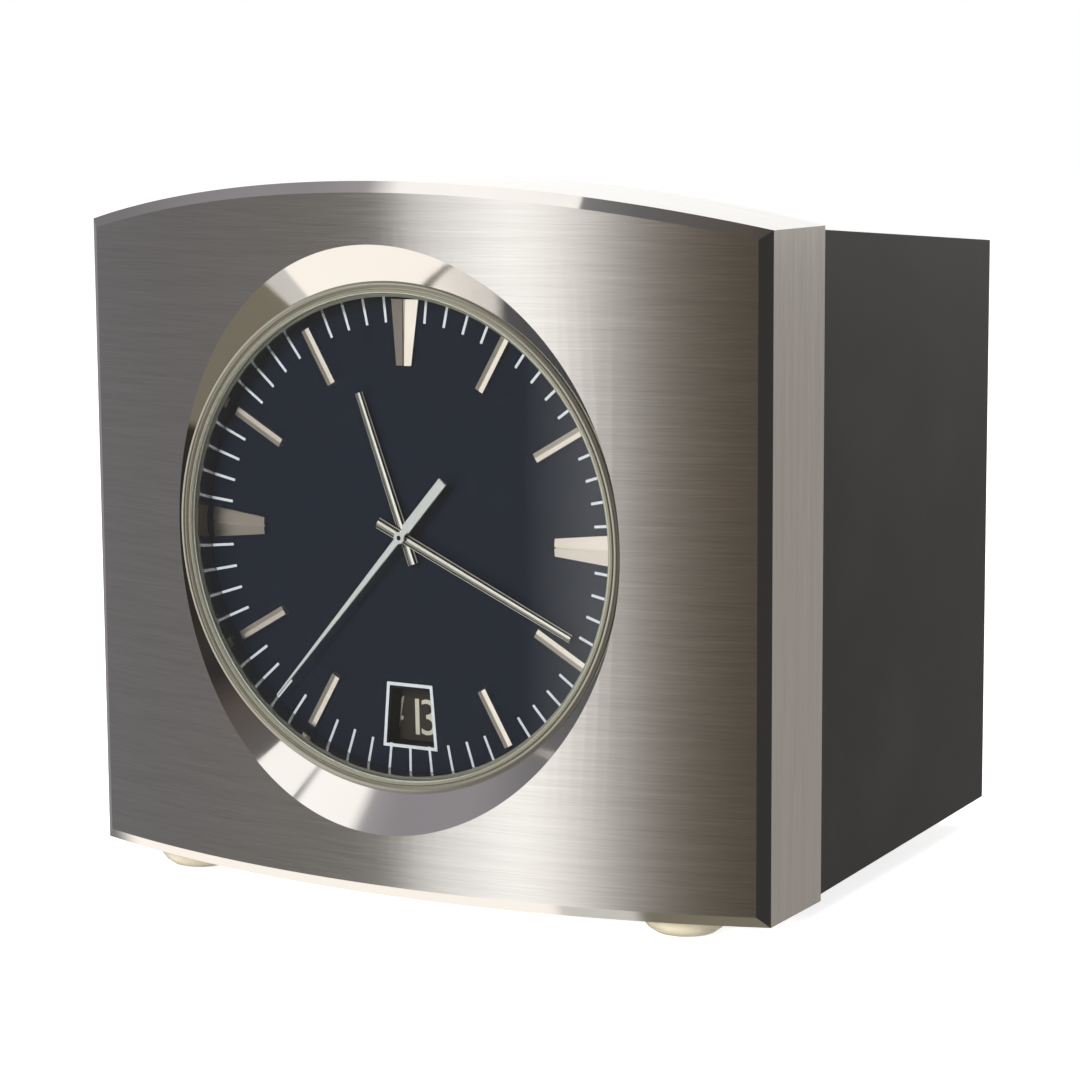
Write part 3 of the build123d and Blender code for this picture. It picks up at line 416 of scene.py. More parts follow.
# White ink: matte and slightly uneven where the pad laid it on.
white_ink, shader = finish("printing_ink_white", {"Roughness": 0.6, "Specular IOR Level": 0.3})
cover = patches(white_ink, 0.8, 3)
tint(white_ink, shader, (cover, "Fac"), "#b6b9be", "#cacdd1")
minute_lines.data.materials.append(white_ink)
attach(minute_lines, "case")

# Window frame: printed line round the date window, wider at its foot as the window is.
# White ink like the minute lines, laid on in the same print.
frame_near, frame_far, frame_top, frame_foot = 19.0 * mm, 27.42 * mm, 6.75 * mm, 8.12 * mm
frame_line = 0.42 * mm


def window_wall(name, near, far, top, foot, width, start, way):
    """Models a closed wall of one width round the window, which starts at a depth and runs a way from it."""
    middle = axis_height - (near + far) / 2
    piece = sheet(name, top, far - near, start, middle)
    pick("VERT", lambda place, normal: place.z < middle)
    bpy.ops.transform.resize(value=(foot / top, 1, 1), center_override=(0, 0, axis_height))
    bpy.ops.mesh.select_mode(type="FACE")
    bpy.ops.mesh.select_all(action="SELECT")
    bpy.ops.mesh.inset(thickness=width, use_even_offset=True)
    bpy.ops.mesh.delete(type="FACE")
    bpy.ops.mesh.select_all(action="SELECT")
    pull((0, way, 0))
    close_up()
    return piece


window_frame = window_wall("window_frame", frame_near, frame_far, frame_top, frame_foot, frame_line, dial_front,
                           -film)
window_frame.data.materials.append(white_ink)
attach(window_frame, "case")

# Window chute: four thin walls behind the dial, from the window down to just above the date ring.
# Folded from brass sheet, blackened and soldered to the dial's back, so that only the day's figure shows. Their
# near-black colour is painted shade of the well.
dial_back, ring_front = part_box("dial")[1].y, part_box("date_ring")[0].y
window_near, window_far, window_top, window_foot = 19.7 * mm, 27.0 * mm, 2 * 2.95 * mm, 2 * 3.65 * mm
chute_wall, chute_clearance = 0.2 * mm, 0.15 * mm
chute = window_wall("window_chute", window_near - chute_wall, window_far + chute_wall,
                    window_top + 2 * chute_wall, window_foot + 2 * chute_wall, chute_wall, dial_back,
                    ring_front - chute_clearance - dial_back)

# Blackened brass darkened to nearly black as painted shade of the window well: dead matte, with a brown cast
# where the stain is thin.
shade_black_brass, shader = finish("brass_blackened_painted_shade", {"Roughness": 0.8, "Specular IOR Level": 0.2})
dark_mottle = patches(shade_black_brass, 2, 3)
tint(shade_black_brass, shader, (dark_mottle, "Fac"), "#040404", "#090807")
chute.data.materials.append(shade_black_brass)
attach(chute, "case")

# Wedge markers: three bars at twelve, three and nine that widen outwards, with a groove along the middle.
# Plated brass, cut to a low roof with a diamond tool and riveted through the dial.

# Champagne-plated brass: bright, warm and sharp in its facets.
champagne, shader = finish("brass_champagne_plated", {
    "Metallic": 1, "Base Color": linear("#fcefe2"), "Roughness": 0.3})
cuts = patches(champagne, 3, 1)
roughen(champagne, shader, (cuts, "Fac"), 0.27, 0.33)

wedge_inner, wedge_length, wedge_half, wedge_widening = 21.6, 8.3, 1.1, 4.0 / 2.2
wedge_edge, wedge_ridge, groove_half, groove_floor, outer_height_share = 0.5, 0.62, 0.12, 0.37, 0.48
section = [(-wedge_half, 0), (wedge_half, 0), (wedge_half, wedge_edge), (groove_half, wedge_ridge),
           (groove_half, groove_floor), (-groove_half, groove_floor), (-groove_half, wedge_ridge),
           (-wedge_half, wedge_edge)]
places = [Vector((x * mm, dial_front - height * mm, axis_height + wedge_inner * mm)) for x, height in section]
wedges = draw("wedge_markers_cut", places)
bpy.ops.mesh.edge_face_add()
pull((0, 0, wedge_length * mm))
bpy.ops.transform.resize(value=(wedge_widening, outer_height_share, 1), center_override=(0, dial_front, 0))
outer_edge_drop = 0.16 * mm
pick("VERT", lambda place, normal: (abs(place.x) > 1.5 * wedge_half * mm
                                    and place.y < dial_front - outer_edge_drop))
bpy.ops.transform.translate(value=(0, outer_edge_drop, 0))
bpy.ops.mesh.select_all(action="SELECT")
bpy.ops.mesh.remove_doubles(threshold=weld)
for quarters in (1, 2):
    bpy.ops.mesh.duplicate()
    turn_on(quarters / 4)
close_up()
wedges.data.materials.append(champagne)
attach(wedges, "case")
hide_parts("wedge_markers")

# Baton markers: eight narrow bars at the other hours, none at six, where the date window is.
# Plated brass like the wedges, cut to a low roof with sloping ends and riveted through the dial.
baton_width, baton_edge, baton_rise = 1.2 * mm, 0.5 * mm, 0.06 * mm
baton_inner, baton_length, end_slope = 21.6 * mm, 8.2 * mm, 0.2 * mm
baton_middle = axis_height + baton_inner + baton_length / 2
batons = sheet("baton_markers_cut", baton_width, baton_length, dial_front, baton_middle)
pull((0, -baton_edge, 0))
bpy.ops.transform.resize(value=(1, 1, 1 - 2 * end_slope / baton_length), center_override=(0, 0, baton_middle))
pull((0, -baton_rise, 0))
bpy.ops.transform.resize(value=(0, 1, 1), center_override=(0, 0, baton_middle))
bpy.ops.mesh.select_all(action="SELECT")
bpy.ops.mesh.remove_doubles(threshold=weld)
bpy.ops.mesh.select_all(action="SELECT")
for hours in (1, 2, 1, 2, 1, 2, 1):
    bpy.ops.mesh.duplicate()
    turn_on(hours / 12)
bpy.ops.mesh.select_all(action="SELECT")
turn_on(1 / 12)
close_up()
batons.data.materials.append(champagne)
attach(batons, "case")
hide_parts("baton_markers")

# Date ring: stamped brass ring in dark matte paint, with 31 teeth inside.
# It lies loose behind the dial and is turned on by one tooth a day.

# Matte paint: brownish charcoal, flat, with a fine tooth.
charcoal_paint, shader = finish("paint_matte_charcoal", {"Roughness": 0.7, "Specular IOR Level": 0.3})
tooth = patches(charcoal_paint, 0.4, 3)
tint(charcoal_paint, shader, (tooth, "Fac"), "#28231f", "#322d28")
dress(charcoal_paint, "date_ring")

# Date figures: the numbers 1 to 31, printed on the date ring so that they stand upright at six o'clock.
# Narrow plain figures in ivory ink. The ten digits are drawn once and copied to their places.
figure_radius, figure_height, figure_width = 23.9 * mm, 4.66 * mm, 2.2 * mm
one_width, figure_gap, type_size, thinning = 0.6 * mm, 0.3 * mm, 6.4 * mm, 0.04 * mm
rest_day, rest_turn = 13, math.radians(1.0)
digits = {}
for name in "0123456789":
    bpy.ops.object.select_all(action="DESELECT")
    if name == "1":
        bpy.ops.mesh.primitive_plane_add(size=1)
        digit = bpy.context.object
        bpy.ops.object.mode_set(mode="EDIT")
        bpy.ops.transform.resize(value=(one_width, figure_height, 1))
        pull((0, 0, film))
        close_up()
    else:
        bpy.ops.object.text_add()
        digit = bpy.context.object
        digit.data.body = name
        digit.data.size, digit.data.resolution_u = type_size, 4
        digit.data.offset, digit.data.extrude = -thinning, film / 2
        bpy.ops.object.convert(target="MESH")
        bpy.ops.object.origin_set(type="ORIGIN_GEOMETRY", center="BOUNDS")
        digit.scale = (figure_width / digit.dimensions.x, figure_height / digit.dimensions.y, 1)
        digit.location = (0, 0, film / 2)
        bpy.ops.object.transform_apply(location=True, rotation=True, scale=True)
    digits[name] = digit
figures = []
for day in range(1, 32):
    widths = [one_width if name == "1" else figure_width for name in str(day)]
    left = -(sum(widths) + figure_gap * (len(widths) - 1)) / 2
    for name, width in zip(str(day), widths):
        figure = digits[name].copy()
        figure.data = digits[name].data.copy()
        bpy.context.scene.collection.objects.link(figure)
        figure.matrix_world = (Matrix.Translation((0, ring_front, axis_height))
                               @ Matrix.Rotation((day - rest_day) * math.tau / 31 - rest_turn, 4, "Y")
                               @ Matrix.Translation((left + width / 2, 0, -figure_radius))
                               @ Matrix.Rotation(math.pi / 2, 4, "X"))
        figures.append(figure)
        left += width + figure_gap
for digit in digits.values():
    bpy.data.objects.remove(digit)
bpy.ops.object.select_all(action="DESELECT")
for figure in figures:
    figure.select_set(True)
bpy.context.view_layer.objects.active = figures[0]
bpy.ops.object.transform_apply(location=True, rotation=True, scale=True)
bpy.ops.object.join()
date_figures = bpy.context.object
date_figures.name = date_figures.data.name = "date_figures"

# Ivory ink: matte and warmer than the dial's, slightly uneven.
ivory_ink, shader = finish("printing_ink_ivory", {"Roughness": 0.6, "Specular IOR Level": 0.3})
cover = patches(ivory_ink, 0.8, 3)
tint(ivory_ink, shader, (cover, "Fac"), "#b1ac9b", "#c1bcab")
date_figures.data.materials.append(ivory_ink)
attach(date_figures, "date_ring")

# Movement: brass plates and wheels, with pillars, arbors, jumper and clamps of steel.
# The wheels are cut from sheet and run in the two plates, which screws draw to the pillars.

# Rolled brass: warm yellow with fine lengthwise brushing.
brass, shader = finish("brass_brushed", {"Metallic": 1, "Roughness": 0.32})
brush = strokes(brass, (20, 0.3, 0.3), 3)
tint(brass, shader, (brush, "Fac"), "#c79f52", "#dcb96f")
dress(brass, "main_plate", "back_plate", "centre_wheel", "hour_wheel", "minute_wheel", "third_wheel",
      "date_wheel")

# Turned steel: grey, with tool marks 0.2 mm apart round its length.
turned_steel, shader = finish("steel_turned", {
    "Metallic": 1, "Base Color": linear("#b3b3b1"), "Roughness": 0.3})
marks = strokes(turned_steel, (8, 0.2, 8), 2)
roughen(turned_steel, shader, (marks, "Fac"), 0.2, 0.42)
dress(turned_steel, "cannon_pinion", "seconds_arbor", "plate_pillars", "date_jumper", "setting_stem",
      "movement_clamps")

# Screws: slotted, turned from steel and zinc-plated.
# They hold the plates, the clamps, the board, the case and the cover.

# Zinc plating: pale grey, slightly blotched.
zinc, shader = finish("steel_zinc_plated", {"Metallic": 1, "Roughness": 0.38})
bloom = patches(zinc, 0.8, 4)
tint(zinc, shader, (bloom, "Fac"), "#8f9193", "#b9bab8")
dress(zinc, "plate_screws", "clamp_screws", "board_screws", "case_screws", "cover_screws")

# Spacer ring and movement holder: moulded plastic rings.
# The one stands between main plate and dial, the other presses the main plate forward in the block.

# Ivory polyacetal: even and waxy, with faint clouds from the flow into the mould.
ivory_plastic, shader = finish("polyacetal_moulded_ivory", {"Roughness": 0.45})
flow = patches(ivory_plastic, 9, 3)
tint(ivory_plastic, shader, (flow, "Fac"), "#d9d4c3", "#e4e0d2")
dress(ivory_plastic, "spacer_ring", "movement_holder")

# Hour and minute hand: stamped from nickel silver, with a low bright ridge and sloping flanks.
# The flanks carry a painted dark reflection between the ridge and a thin bright rim, and the hands are pushed
# on their pipes.

# Nickel silver: bright and slightly warm, with fine marks that soften its shine.
nickel_silver, shader = finish("nickel_silver_brushed", {
    "Metallic": 1, "Base Color": linear("#f3efe4"), "Roughness": 0.3})
cuts = patches(nickel_silver, 0.4, 2)
roughen(nickel_silver, shader, (cuts, "Fac"), 0.26, 0.34)

# Painted dark reflection: dark olive metal on the flanks, standing in for the dark surroundings they mirror,
# with a little shine left.
painted_dark_reflection, shader = finish("nickel_silver_painted_dark_reflection", {"Metallic": 1, "Roughness": 0.32})
dark_mottle = patches(painted_dark_reflection, 1.5, 3)
tint(painted_dark_reflection, shader, (dark_mottle, "Fac"), "#3a362d", "#4f4a3e")
blade_width, tip_share, rim, ridge = 1.45, 1.05 / 1.45, 0.1, 0.72
edge_thickness, shoulder_thickness, thickness = 0.12, 0.293, 0.35
for node, body, tail, reach, back, bore, angle in (
        ("hour_hand", "hour_works", 3.7, 19.1, 7.5, 0.6, 340.0),
        ("minute_hand", "minute_works", 3.9, 26.7, 6.9, 0.42, 114.5)):
    half, edge, shoulder = blade_width / 2, back - edge_thickness, back - shoulder_thickness
    section = [(-half, back), (half, back), (half, edge), (half - rim, edge), (ridge / 2, shoulder),
               (0, back - thickness), (-ridge / 2, shoulder), (rim - half, edge), (-half, edge)]
    places = [Vector((x * mm, apex + depth * mm, axis_height - tail * mm)) for x, depth in section]
    hand = draw(node + "_lined", places)
    bpy.ops.mesh.edge_face_add()
    pull((0, 0, (tail + reach) * mm))
    bpy.ops.transform.resize(value=(tip_share, 1, 1), center_override=(0, 0, 0))
    close_up()
    cut(hand, turned("pipe_cutter", [(0, back - 2), (bore, back - 2), (bore, back + 1), (0, back + 1)], 48))
    hand.data.materials.append(nickel_silver)
    hand.data.materials.append(painted_dark_reflection)
    for face in hand.data.polygons:
        # The sloping flanks take the painted dark reflection; the ridge and rim keep the bright metal.
        face.material_index = 1 if -0.98 < face.normal.y < -0.5 else 0
    hand.matrix_world = (Matrix.Translation((0, 0, axis_height)) @ Matrix.Rotation(math.radians(angle), 4, "Y")
                         @ Matrix.Translation((0, 0, -axis_height)))
    bpy.ops.object.transform_apply(location=True, rotation=True, scale=True)
    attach(hand, body)
    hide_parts(node)

# Seconds hand: flat hand with a tail beyond its hub, in matte light grey paint.
# Stamped from thin sheet, painted and pressed on the end of the seconds arbor.

# Light grey paint: flat, with a fine tooth.
grey_paint, shader = finish("paint_matte_light_grey", {"Roughness": 0.6, "Specular IOR Level": 0.3})
tooth = patches(grey_paint, 0.3, 3)
tint(grey_paint, shader, (tooth, "Fac"), "#a2a4a3", "#b1b2b0")
dress(grey_paint, "seconds_hand")

# Arbor end: the tip of the seconds arbor, which shows as a dark dot in the middle of the hub.
# Hardened steel, turned to a low dome with a rounded rim and blued.
hand_front = (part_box("seconds_hand")[0].y - apex) / mm
arbor_end = turned("arbor_end", [(0, hand_front - 0.1), (0.12, hand_front - 0.095), (0.22, hand_front - 0.07),
                                 (0.28, hand_front - 0.03), (0.3, hand_front), (0, hand_front)], 48)
smooth(arbor_end, 60)

# Blued steel: dark and glossy.
blued_steel, shader = finish("steel_blued", {"Metallic": 1, "Roughness": 0.25})
bloom = patches(blued_steel, 0.3, 2)
tint(blued_steel, shader, (bloom, "Fac"), "#2a2c31", "#3b3d42")
arbor_end.data.materials.append(blued_steel)
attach(arbor_end, "seconds_works")

# Stepping motor: magnet drum on the arbor, a ring coil round it and a drawn iron can over both.
# The drum is pressed on, the coil is wound and pushed into the can, and the can sits on the back plate.

# Ground magnet: dark grey and grainy.
magnet, shader = finish("ferrite_ground", {"Roughness": 0.55})
grit = patches(magnet, 0.25, 4)
tint(magnet, shader, (grit, "Fac"), "#2c2c2f", "#45454a")
dress(magnet, "motor_rotor")

# Drawn iron: plated grey with faint lines from the drawing die.
drawn_iron, shader = finish("iron_drawn_plated", {
    "Metallic": 1, "Base Color": linear("#a9a8a4"), "Roughness": 0.35})
marks = strokes(drawn_iron, (0.4, 12, 0.4), 2)
roughen(drawn_iron, shader, (marks, "Fac"), 0.25, 0.45)
dress(drawn_iron, "motor_can")

# Enamelled copper: turns of wire 0.3 mm apart, reddish and glossy.
copper, shader = finish("copper_enamelled_wire", {"Metallic": 0.7, "Roughness": 0.3})
spot = add(copper, "ShaderNodeTexCoord", {}, {})
turns = add(copper, "ShaderNodeTexWave",
            {"bands_direction": "Y", "Scale": 1 / (20 * 0.3 * mm), "Distortion": 0.4},
            {"Vector": (spot, "Object")})
tint(copper, shader, (turns, "Fac"), "#6e2d14", "#b35f34")
dress(copper, "motor_coil")

# Circuit board: sawn laminate that carries the electronics.
# Held on the back of the movement by two screws.

# Green lacquered laminate: brown-green, with its weave 0.5 mm wide showing through.
laminate, shader = finish("laminate_lacquered_green", {"Roughness": 0.35})
spot = add(laminate, "ShaderNodeTexCoord", {}, {})
add(laminate, "ShaderNodeTexChecker",
    {"Scale": 1 / (0.5 * mm), "Color1": linear("#5d6b3a"), "Color2": linear("#677541")},
    {"Vector": (spot, "Object")}, [("Color", shader, "Base Color")])
dress(laminate, "circuit_board")

# Quartz can: closed can round the crystal that keeps the time.
# Drawn from the same plated iron as the motor's can and soldered to the board.
dress(drawn_iron, "quartz_can")

# Driver chip: small block that counts the crystal's beats and steps the motor.
# Moulded in epoxy and soldered to the board.

# Black epoxy: matte, with a fine sparkle of filler.
epoxy, shader = finish("epoxy_moulded_black", {"Roughness": 0.6})
filler = patches(epoxy, 0.2, 2)
tint(epoxy, shader, (filler, "Fac"), "#202021", "#333334")
dress(epoxy, "driver_chip")

# Trimmer: small adjustable capacitor that sets the rate.
# Pressed from ceramic, fired and soldered to the board.

# Fired ceramic: cream and slightly glossy.
ceramic, shader = finish("ceramic_fired_cream", {"Roughness": 0.3})
firing = patches(ceramic, 2, 3)
tint(ceramic, shader, (firing, "Fac"), "#d6c79f", "#e3d7b6")
dress(ceramic, "trimmer")

# Rear case: tapered shell screwed to the block's back, dark anthracite, its edges slightly broken.
# Folded steel sheet in a satin coat that has scuffed a little on the sides.
# A copy of the CAD's shell, whose edges are then rounded by 0.35 mm.
case_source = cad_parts["rear_case"]
rear_case = case_source.copy()
rear_case.data = case_source.data.copy()
rear_case.name = rear_case.data.name = "rear_case_shell"
for key in [key for key in rear_case.keys() if key.startswith("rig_")]:
    del rear_case[key]
rear_case.parent = None
bpy.context.scene.collection.objects.link(rear_case)
take(rear_case)
bpy.ops.mesh.customdata_custom_splitnormals_clear()
bpy.ops.object.mode_set(mode="EDIT")
bpy.ops.mesh.select_all(action="SELECT")
bpy.ops.mesh.remove_doubles(threshold=weld)
bpy.ops.mesh.dissolve_limited(angle_limit=math.radians(0.5))
bpy.ops.object.mode_set(mode="OBJECT")
edges = rear_case.modifiers.new("edges", "BEVEL")
edges.width, edges.segments, edges.limit_method, edges.angle_limit = 0.35 * mm, 3, "ANGLE", math.radians(50)
apply_all(rear_case)
smooth(rear_case, 35)
level_faces = rear_case.modifiers.new("level_faces", "WEIGHTED_NORMAL")
level_faces.weight, level_faces.keep_sharp = 100, True
apply_all(rear_case)


def bump(material, shader, pattern, strength, height):
    """Raises a pattern to a height."""
    add(material, "ShaderNodeBump", {"Strength": strength, "Distance": height}, {"Height": pattern},
        [("Normal", shader, "Normal")])


# Stoved enamel: near-black and clouded, with paler rubbed patches. Handling has dulled its sides.
# The top is still smooth, and mirrors the background where it is seen at a low angle.
rear_case.data.materials.clear()
for name, coat in (("enamel_stoved_dulled", 0.07), ("enamel_stoved_smooth", 0.9)):
    anthracite, shader = finish(name, {"Specular IOR Level": 0.18, "Coat Weight": coat, "Coat Roughness": 0.12})
    cloud = patches(anthracite, 22, 6, 0.6)
    rub = add(anthracite, "ShaderNodeMapRange", {"From Min": 0.45, "From Max": 0.7}, {"Value": (cloud, "Fac")})
    tint(anthracite, shader, (rub, "Result"), "#141313", "#282625")
    roughen(anthracite, shader, (cloud, "Fac"), 0.34, 0.5)
    grit = patches(anthracite, 0.35, 3)
    bump(anthracite, shader, (grit, "Fac"), 0.12, 0.02 * mm)
    rear_case.data.materials.append(anthracite)
for face in rear_case.data.polygons:
    face.material_index = 1 if face.normal.z > 0.7 and face.center.z > axis_height else 0
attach(rear_case, "case")
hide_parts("rear_case")

# Back cover, hatch, battery tray and setting knob: moulded plastic.
# The cover sits recessed in the case on four posts, and the hatch swings on two pins below the battery.
# The tray is fixed to the cover's inside, the knob is pressed on the stem.

# Black moulded plastic: dark grey, with the fine grain of a spark-eroded mould.
black_plastic, shader = finish("abs_moulded_black", {"Roughness": 0.5, "Specular IOR Level": 0.45})
erosion = patches(black_plastic, 0.5, 4)
tint(black_plastic, shader, (erosion, "Fac"), "#1f1f20", "#2b2b2c")
bump(black_plastic, shader, (erosion, "Fac"), 0.25, 0.05 * mm)
dress(black_plastic, "back_cover", "battery_hatch", "battery_tray", "setting_knob")

# Battery contacts: spring plates at both ends of the battery, each with a tag through the tray's floor.
# Stamped and bent from steel strip.

# Nickel plating: bright and warm, with a faint bloom.
nickel, shader = finish("steel_nickel_plated", {
    "Metallic": 1, "Base Color": linear("#c9c5ba"), "Roughness": 0.25})
bloom = patches(nickel, 1.2, 3)
roughen(nickel, shader, (bloom, "Fac"), 0.18, 0.36)
dress(nickel, "battery_contacts")

# Battery: round dry cell in a plain sleeve.
# It lies in the tray behind the hatch, held by its contacts.

# Foil sleeve: grey, half metallic, with a faint grain.
foil, shader = finish("foil_sleeve_grey", {"Metallic": 0.6, "Roughness": 0.35})
print_grain = patches(foil, 3, 3)
tint(foil, shader, (print_grain, "Fac"), "#6d7176", "#858990")
dress(foil, "battery")

# Battery leads: two insulated wires in an easy curve from the tray's tags to the board.
# Stranded copper in an extruded sleeve, soldered at both ends.

# Red PVC: even and slightly glossy.
red_sleeve, shader = finish("pvc_extruded_red", {"Roughness": 0.4})
draw_lines = patches(red_sleeve, 1, 2)
tint(red_sleeve, shader, (draw_lines, "Fac"), "#8d2420", "#a8332c")
dress(red_sleeve, "battery_leads")

# Feet: four soft domes stuck under block and case.
# Cast clear-cream polyurethane, translucent, domed by its own surface tension.
foot_side, foot_front, foot_rear = 36.8 * mm, -28.2 * mm, 30.1 * mm
foot_profile = [(0, 0), (2.8, 0), (3.9, 0.3), (4.8, 0.95), (5.4, 1.75), (5.66, 2.35), (5.7, 2.6), (5.66, 2.8),
                (0, 2.8)]

# Cream polyurethane: light enters it, so its thin rim glows.
cream_gel, shader = finish("polyurethane_cast_cream", {
    "Roughness": 0.3, "Subsurface Weight": 0.5, "Subsurface Scale": 2 * mm,
    "Subsurface Radius": (1.0, 0.8, 0.5)})
ageing = patches(cream_gel, 2.5, 3)
tint(cream_gel, shader, (ageing, "Fac"), "#d8ccae", "#e5ddc7")
foot_places = [(side, depth) for side in (-foot_side, foot_side) for depth in (foot_front, foot_rear)]
for number, (x, y) in enumerate(foot_places, 1):
    places = [Vector((x + radius * mm, y, height * mm)) for radius, height in foot_profile]
    foot = draw("soft_foot_%d" % number, places)
    bpy.ops.mesh.spin(steps=64, angle=math.tau, center=(x, y, 0), axis=(0, 0, 1))
    close_up()
    smooth(foot, 50)
    foot.data.materials.append(cream_gel)
    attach(foot, "case")
    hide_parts("feet")

# Studio: pale floor that keeps the shadow, a tent for the reflections, soft lamps and the white background.
# Tent, backdrop and panel show in mirrors and glass only. None of it belongs to the clock.
floor_size, tent_radius = 6, 4
bpy.ops.object.select_all(action="DESELECT")
bpy.ops.mesh.primitive_plane_add(size=floor_size)
floor = bpy.context.object
floor.name = "studio_floor"

# Pale paper: matte, with a glow for the camera only, so that it fades into the white and keeps the shadow.
pale, shader = finish("paper_pale", {
    "Base Color": linear("#f2f1ee"), "Roughness": 0.9, "Specular IOR Level": 0.1})
path = add(pale, "ShaderNodeLightPath", {}, {})
glow = add(pale, "ShaderNodeEmission", {"Color": (1, 1, 1, 1), "Strength": 0.82}, {})
both = add(pale, "ShaderNodeAddShader", {}, {0: (shader, "BSDF"), 1: (glow, "Emission")})
add(pale, "ShaderNodeMixShader", {}, {0: (path, "Is Camera Ray"), 1: (shader, "BSDF"), 2: (both, "Shader")},
    [("Shader", pale.node_tree.nodes["Material Output"], "Surface")])
floor.data.materials.append(pale)
floor.visible_glossy = floor.visible_transmission = False


def only_mirrored(piece):
    """Hides a piece from all but mirrors and glass."""
    for kind in ("camera", "diffuse", "shadow", "volume_scatter"):
        setattr(piece, "visible_" + kind, False)


bpy.ops.object.select_all(action="DESELECT")
bpy.ops.mesh.primitive_uv_sphere_add(segments=64, ring_count=32, radius=tent_radius)
tent = bpy.context.object
tent.name = "studio_tent"
only_mirrored(tent)

# Graded tent cloth: lit from outside in soft bands, which the steel mirrors as light and dark.
cloth, shader = finish("tent_cloth_graded", {})
cloth.node_tree.nodes.remove(shader)
spot = add(cloth, "ShaderNodeTexCoord", {}, {})
parts = add(cloth, "ShaderNodeSeparateXYZ", {}, {"Vector": (spot, "Object")})
ahead = add(cloth, "ShaderNodeMath", {"operation": "MULTIPLY", 1: -1.0}, {0: (parts, "Y")})
bearing = add(cloth, "ShaderNodeMath", {"operation": "ARCTAN2"}, {0: (parts, "X"), 1: (ahead, "Value")})
turn = add(cloth, "ShaderNodeMapRange", {"From Min": -math.pi, "From Max": math.pi},
           {"Value": (bearing, "Value")})

# Three bands of light round the tent: the bearing from straight ahead in degrees, then red, green and blue.
bands = {
    "low": [(-180, 0.5, 0.5, 0.5), (-112, 0.3, 0.3, 0.28), (-103, 1.5, 1.44, 1.38), (-37, 1.55, 1.5, 1.43),
            (-35, 0.9, 0.89, 0.86), (-21, 0.88, 0.87, 0.84), (-19, 0.28, 0.26, 0.2), (38, 0.27, 0.25, 0.2),
            (42, 0.06, 0.055, 0.05), (90, 0.3, 0.3, 0.3), (180, 0.5, 0.5, 0.5)],
    "middle": [(-180, 0.45, 0.43, 0.41), (-85, 0.24, 0.24, 0.255), (-60, 0.225, 0.22, 0.225),
               (-29.4, 0.24, 0.23, 0.215), (-28.4, 1.05, 1.04, 1.03), (-19, 1.5, 1.5, 1.5),
               (-14, 1.85, 1.85, 1.85), (-9, 1.5, 1.49, 1.47), (-4, 0.85, 0.83, 0.8),
               (1.5, 0.32, 0.3, 0.28), (7, 0.2, 0.165, 0.13), (13, 0.12, 0.1, 0.076),
               (24, 0.08, 0.065, 0.05), (45, 0.03, 0.03, 0.03), (75, 0.08, 0.08, 0.08),
               (120, 0.4, 0.38, 0.36), (155, 0.5, 0.47, 0.44), (180, 0.45, 0.43, 0.41)],
    "high": [(-180, 0.45, 0.44, 0.47), (-58, 0.40, 0.39, 0.43), (-48, 0.5, 0.49, 0.52), (-42, 1.5, 1.5, 1.5),
             (-18, 1.55, 1.55, 1.55), (-15, 0.4, 0.4, 0.42), (4, 0.2, 0.2, 0.21), (24, 0.14, 0.12, 0.11),
             (32, 0.04, 0.04, 0.04), (90, 0.3, 0.3, 0.32), (180, 0.45, 0.44, 0.47)],
}
ramps = {}
for name, stops in bands.items():
    ramp = add(cloth, "ShaderNodeValToRGB", {}, {"Fac": (turn, "Result")})
    for place, (degrees, *shade) in enumerate(stops):
        share = (degrees + 180) / 360
        stop = ramp.color_ramp.elements[place] if place < 2 else ramp.color_ramp.elements.new(share)
        stop.position = share
        stop.color = [value / 2 for value in shade] + [1]
    ramps[name] = ramp
rise = add(cloth, "ShaderNodeVectorMath", {"operation": "NORMALIZE"}, {"Vector": (spot, "Object")})
level = add(cloth, "ShaderNodeSeparateXYZ", {}, {"Vector": (rise, "Vector")})

# The bands pass into each other between these shares of the tent's height.
upward, downward, below = [
    add(cloth, "ShaderNodeMapRange", {"interpolation_type": "SMOOTHSTEP", "From Min": start, "From Max": end},
        {"Value": (level, "Z")}) for start, end in ((0.3, 0.6), (-0.55, -0.59), (-0.93, -0.95))]
lower = add(cloth, "ShaderNodeMix", {"data_type": "RGBA"},
            {0: (downward, "Result"), 6: (ramps["middle"], "Color"), 7: (ramps["low"], "Color")})
upper = add(cloth, "ShaderNodeMix", {"data_type": "RGBA"},
            {0: (upward, "Result"), 6: (lower, 2), 7: (ramps["high"], "Color")})
whole = add(cloth, "ShaderNodeMix", {"data_type": "RGBA", 7: (0.8, 0.78, 0.75, 1)},
            {0: (below, "Result"), 6: (upper, 2)})
add(cloth, "ShaderNodeEmission", {"Strength": 2.0}, {"Color": (whole, 2)},
    [("Emission", cloth.node_tree.nodes["Material Output"], "Surface")])
tent.data.materials.append(cloth)

backdrop_place, backdrop_size = (0, 1.5, 1.06), (6, 2, 1)
bpy.ops.object.select_all(action="DESELECT")
bpy.ops.mesh.primitive_plane_add(size=1, rotation=(math.pi / 2, 0, 0), location=backdrop_place)
backdrop = bpy.context.object
backdrop.name = "studio_backdrop"
backdrop.scale = backdrop_size
only_mirrored(backdrop)

# Lit paper: an even white glow.
lit_paper, shader = finish("paper_lit", {})
lit_paper.node_tree.nodes.remove(shader)
add(lit_paper, "ShaderNodeEmission", {"Strength": 1.5}, {},
    [("Emission", lit_paper.node_tree.nodes["Material Output"], "Surface")])
backdrop.data.materials.append(lit_paper)

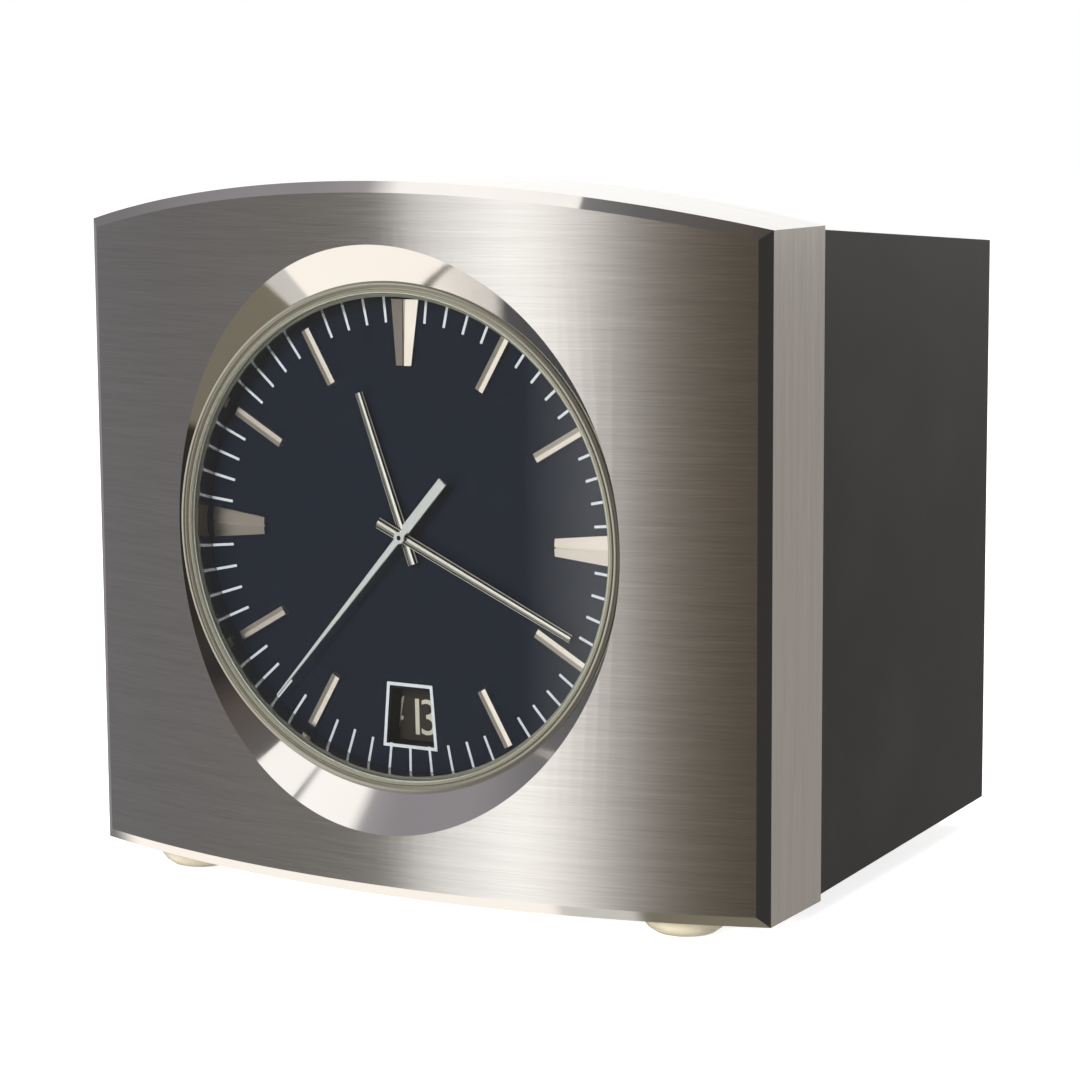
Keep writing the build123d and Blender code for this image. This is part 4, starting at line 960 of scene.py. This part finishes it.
panel_place, panel_aim = Vector((-0.024, -0.209, 0.265)), Vector((-0.015, -0.0375, 0.019))
panel_size = (0.06, 0.05, 1)
bpy.ops.object.select_all(action="DESELECT")
bpy.ops.mesh.primitive_plane_add(size=1, location=panel_place,
                                 rotation=(panel_aim - panel_place).to_track_quat("-Z", "Y").to_euler())
panel = bpy.context.object
panel.name = "studio_panel"
panel.scale = panel_size
only_mirrored(panel)
panel.data.materials.append(lit_paper)

# Two soft lamps, one in front and a weaker one above, which no mirror shows.
lamp_aim = Vector((0, 0, 0.04))
for name, place, size, power in (("key_lamp", (-0.1, -1.5, 0.6), 0.5, 25),
                                 ("top_lamp", (0.25, 0.1, 1.2), 1.0, 10)):
    lamp = bpy.data.objects.new(name, bpy.data.lights.new(name, "AREA"))
    lamp.data.size, lamp.data.energy = size, power
    lamp.location = place
    lamp.rotation_euler = (lamp_aim - Vector(place)).to_track_quat("-Z", "Y").to_euler()
    lamp.visible_camera = lamp.visible_glossy = lamp.visible_transmission = False
    bpy.context.scene.collection.objects.link(lamp)

# White background: full for the camera, mirrors and glass, and dim as a light.
world = bpy.data.worlds.new("white_studio")
bpy.context.scene.world = world
world.use_nodes = True
path = add(world, "ShaderNodeLightPath", {}, {})
seen = add(world, "ShaderNodeMath", {"operation": "MAXIMUM"},
           {0: (path, "Is Camera Ray"), 1: (path, "Is Glossy Ray")})
shown = add(world, "ShaderNodeMath", {"operation": "MAXIMUM"},
            {0: (seen, "Value"), 1: (path, "Is Transmission Ray")})
add(world, "ShaderNodeMapRange", {"To Min": 0.25, "To Max": 1.0}, {"Value": (shown, "Value")},
    [("Result", world.node_tree.nodes["Background"], "Strength")])
world.node_tree.nodes["Background"].inputs["Color"].default_value = (1, 1, 1, 1)

# Camera: at the photograph's place and angle, as fitted to its corners and ellipses.
# A long lens with everything in focus.
camera = bpy.data.objects.new("camera", bpy.data.cameras.new("camera"))
camera.data.lens, camera.data.sensor_width = 103.23, 36
camera.location = (206.763 * mm, -361.723 * mm, 102.929 * mm)
yaw, pitch, roll = math.radians(29.726), math.radians(8.185), math.radians(0.367)
camera.rotation_euler = (Matrix.Rotation(yaw, 3, "Z") @ Matrix.Rotation(math.pi / 2 - pitch, 3, "X")
                         @ Matrix.Rotation(-roll, 3, "Z")).to_euler()
camera.data.clip_start = 0.01
bpy.context.scene.collection.objects.link(camera)
bpy.context.scene.camera = camera
bpy.context.scene.view_settings.view_transform = "Standard"
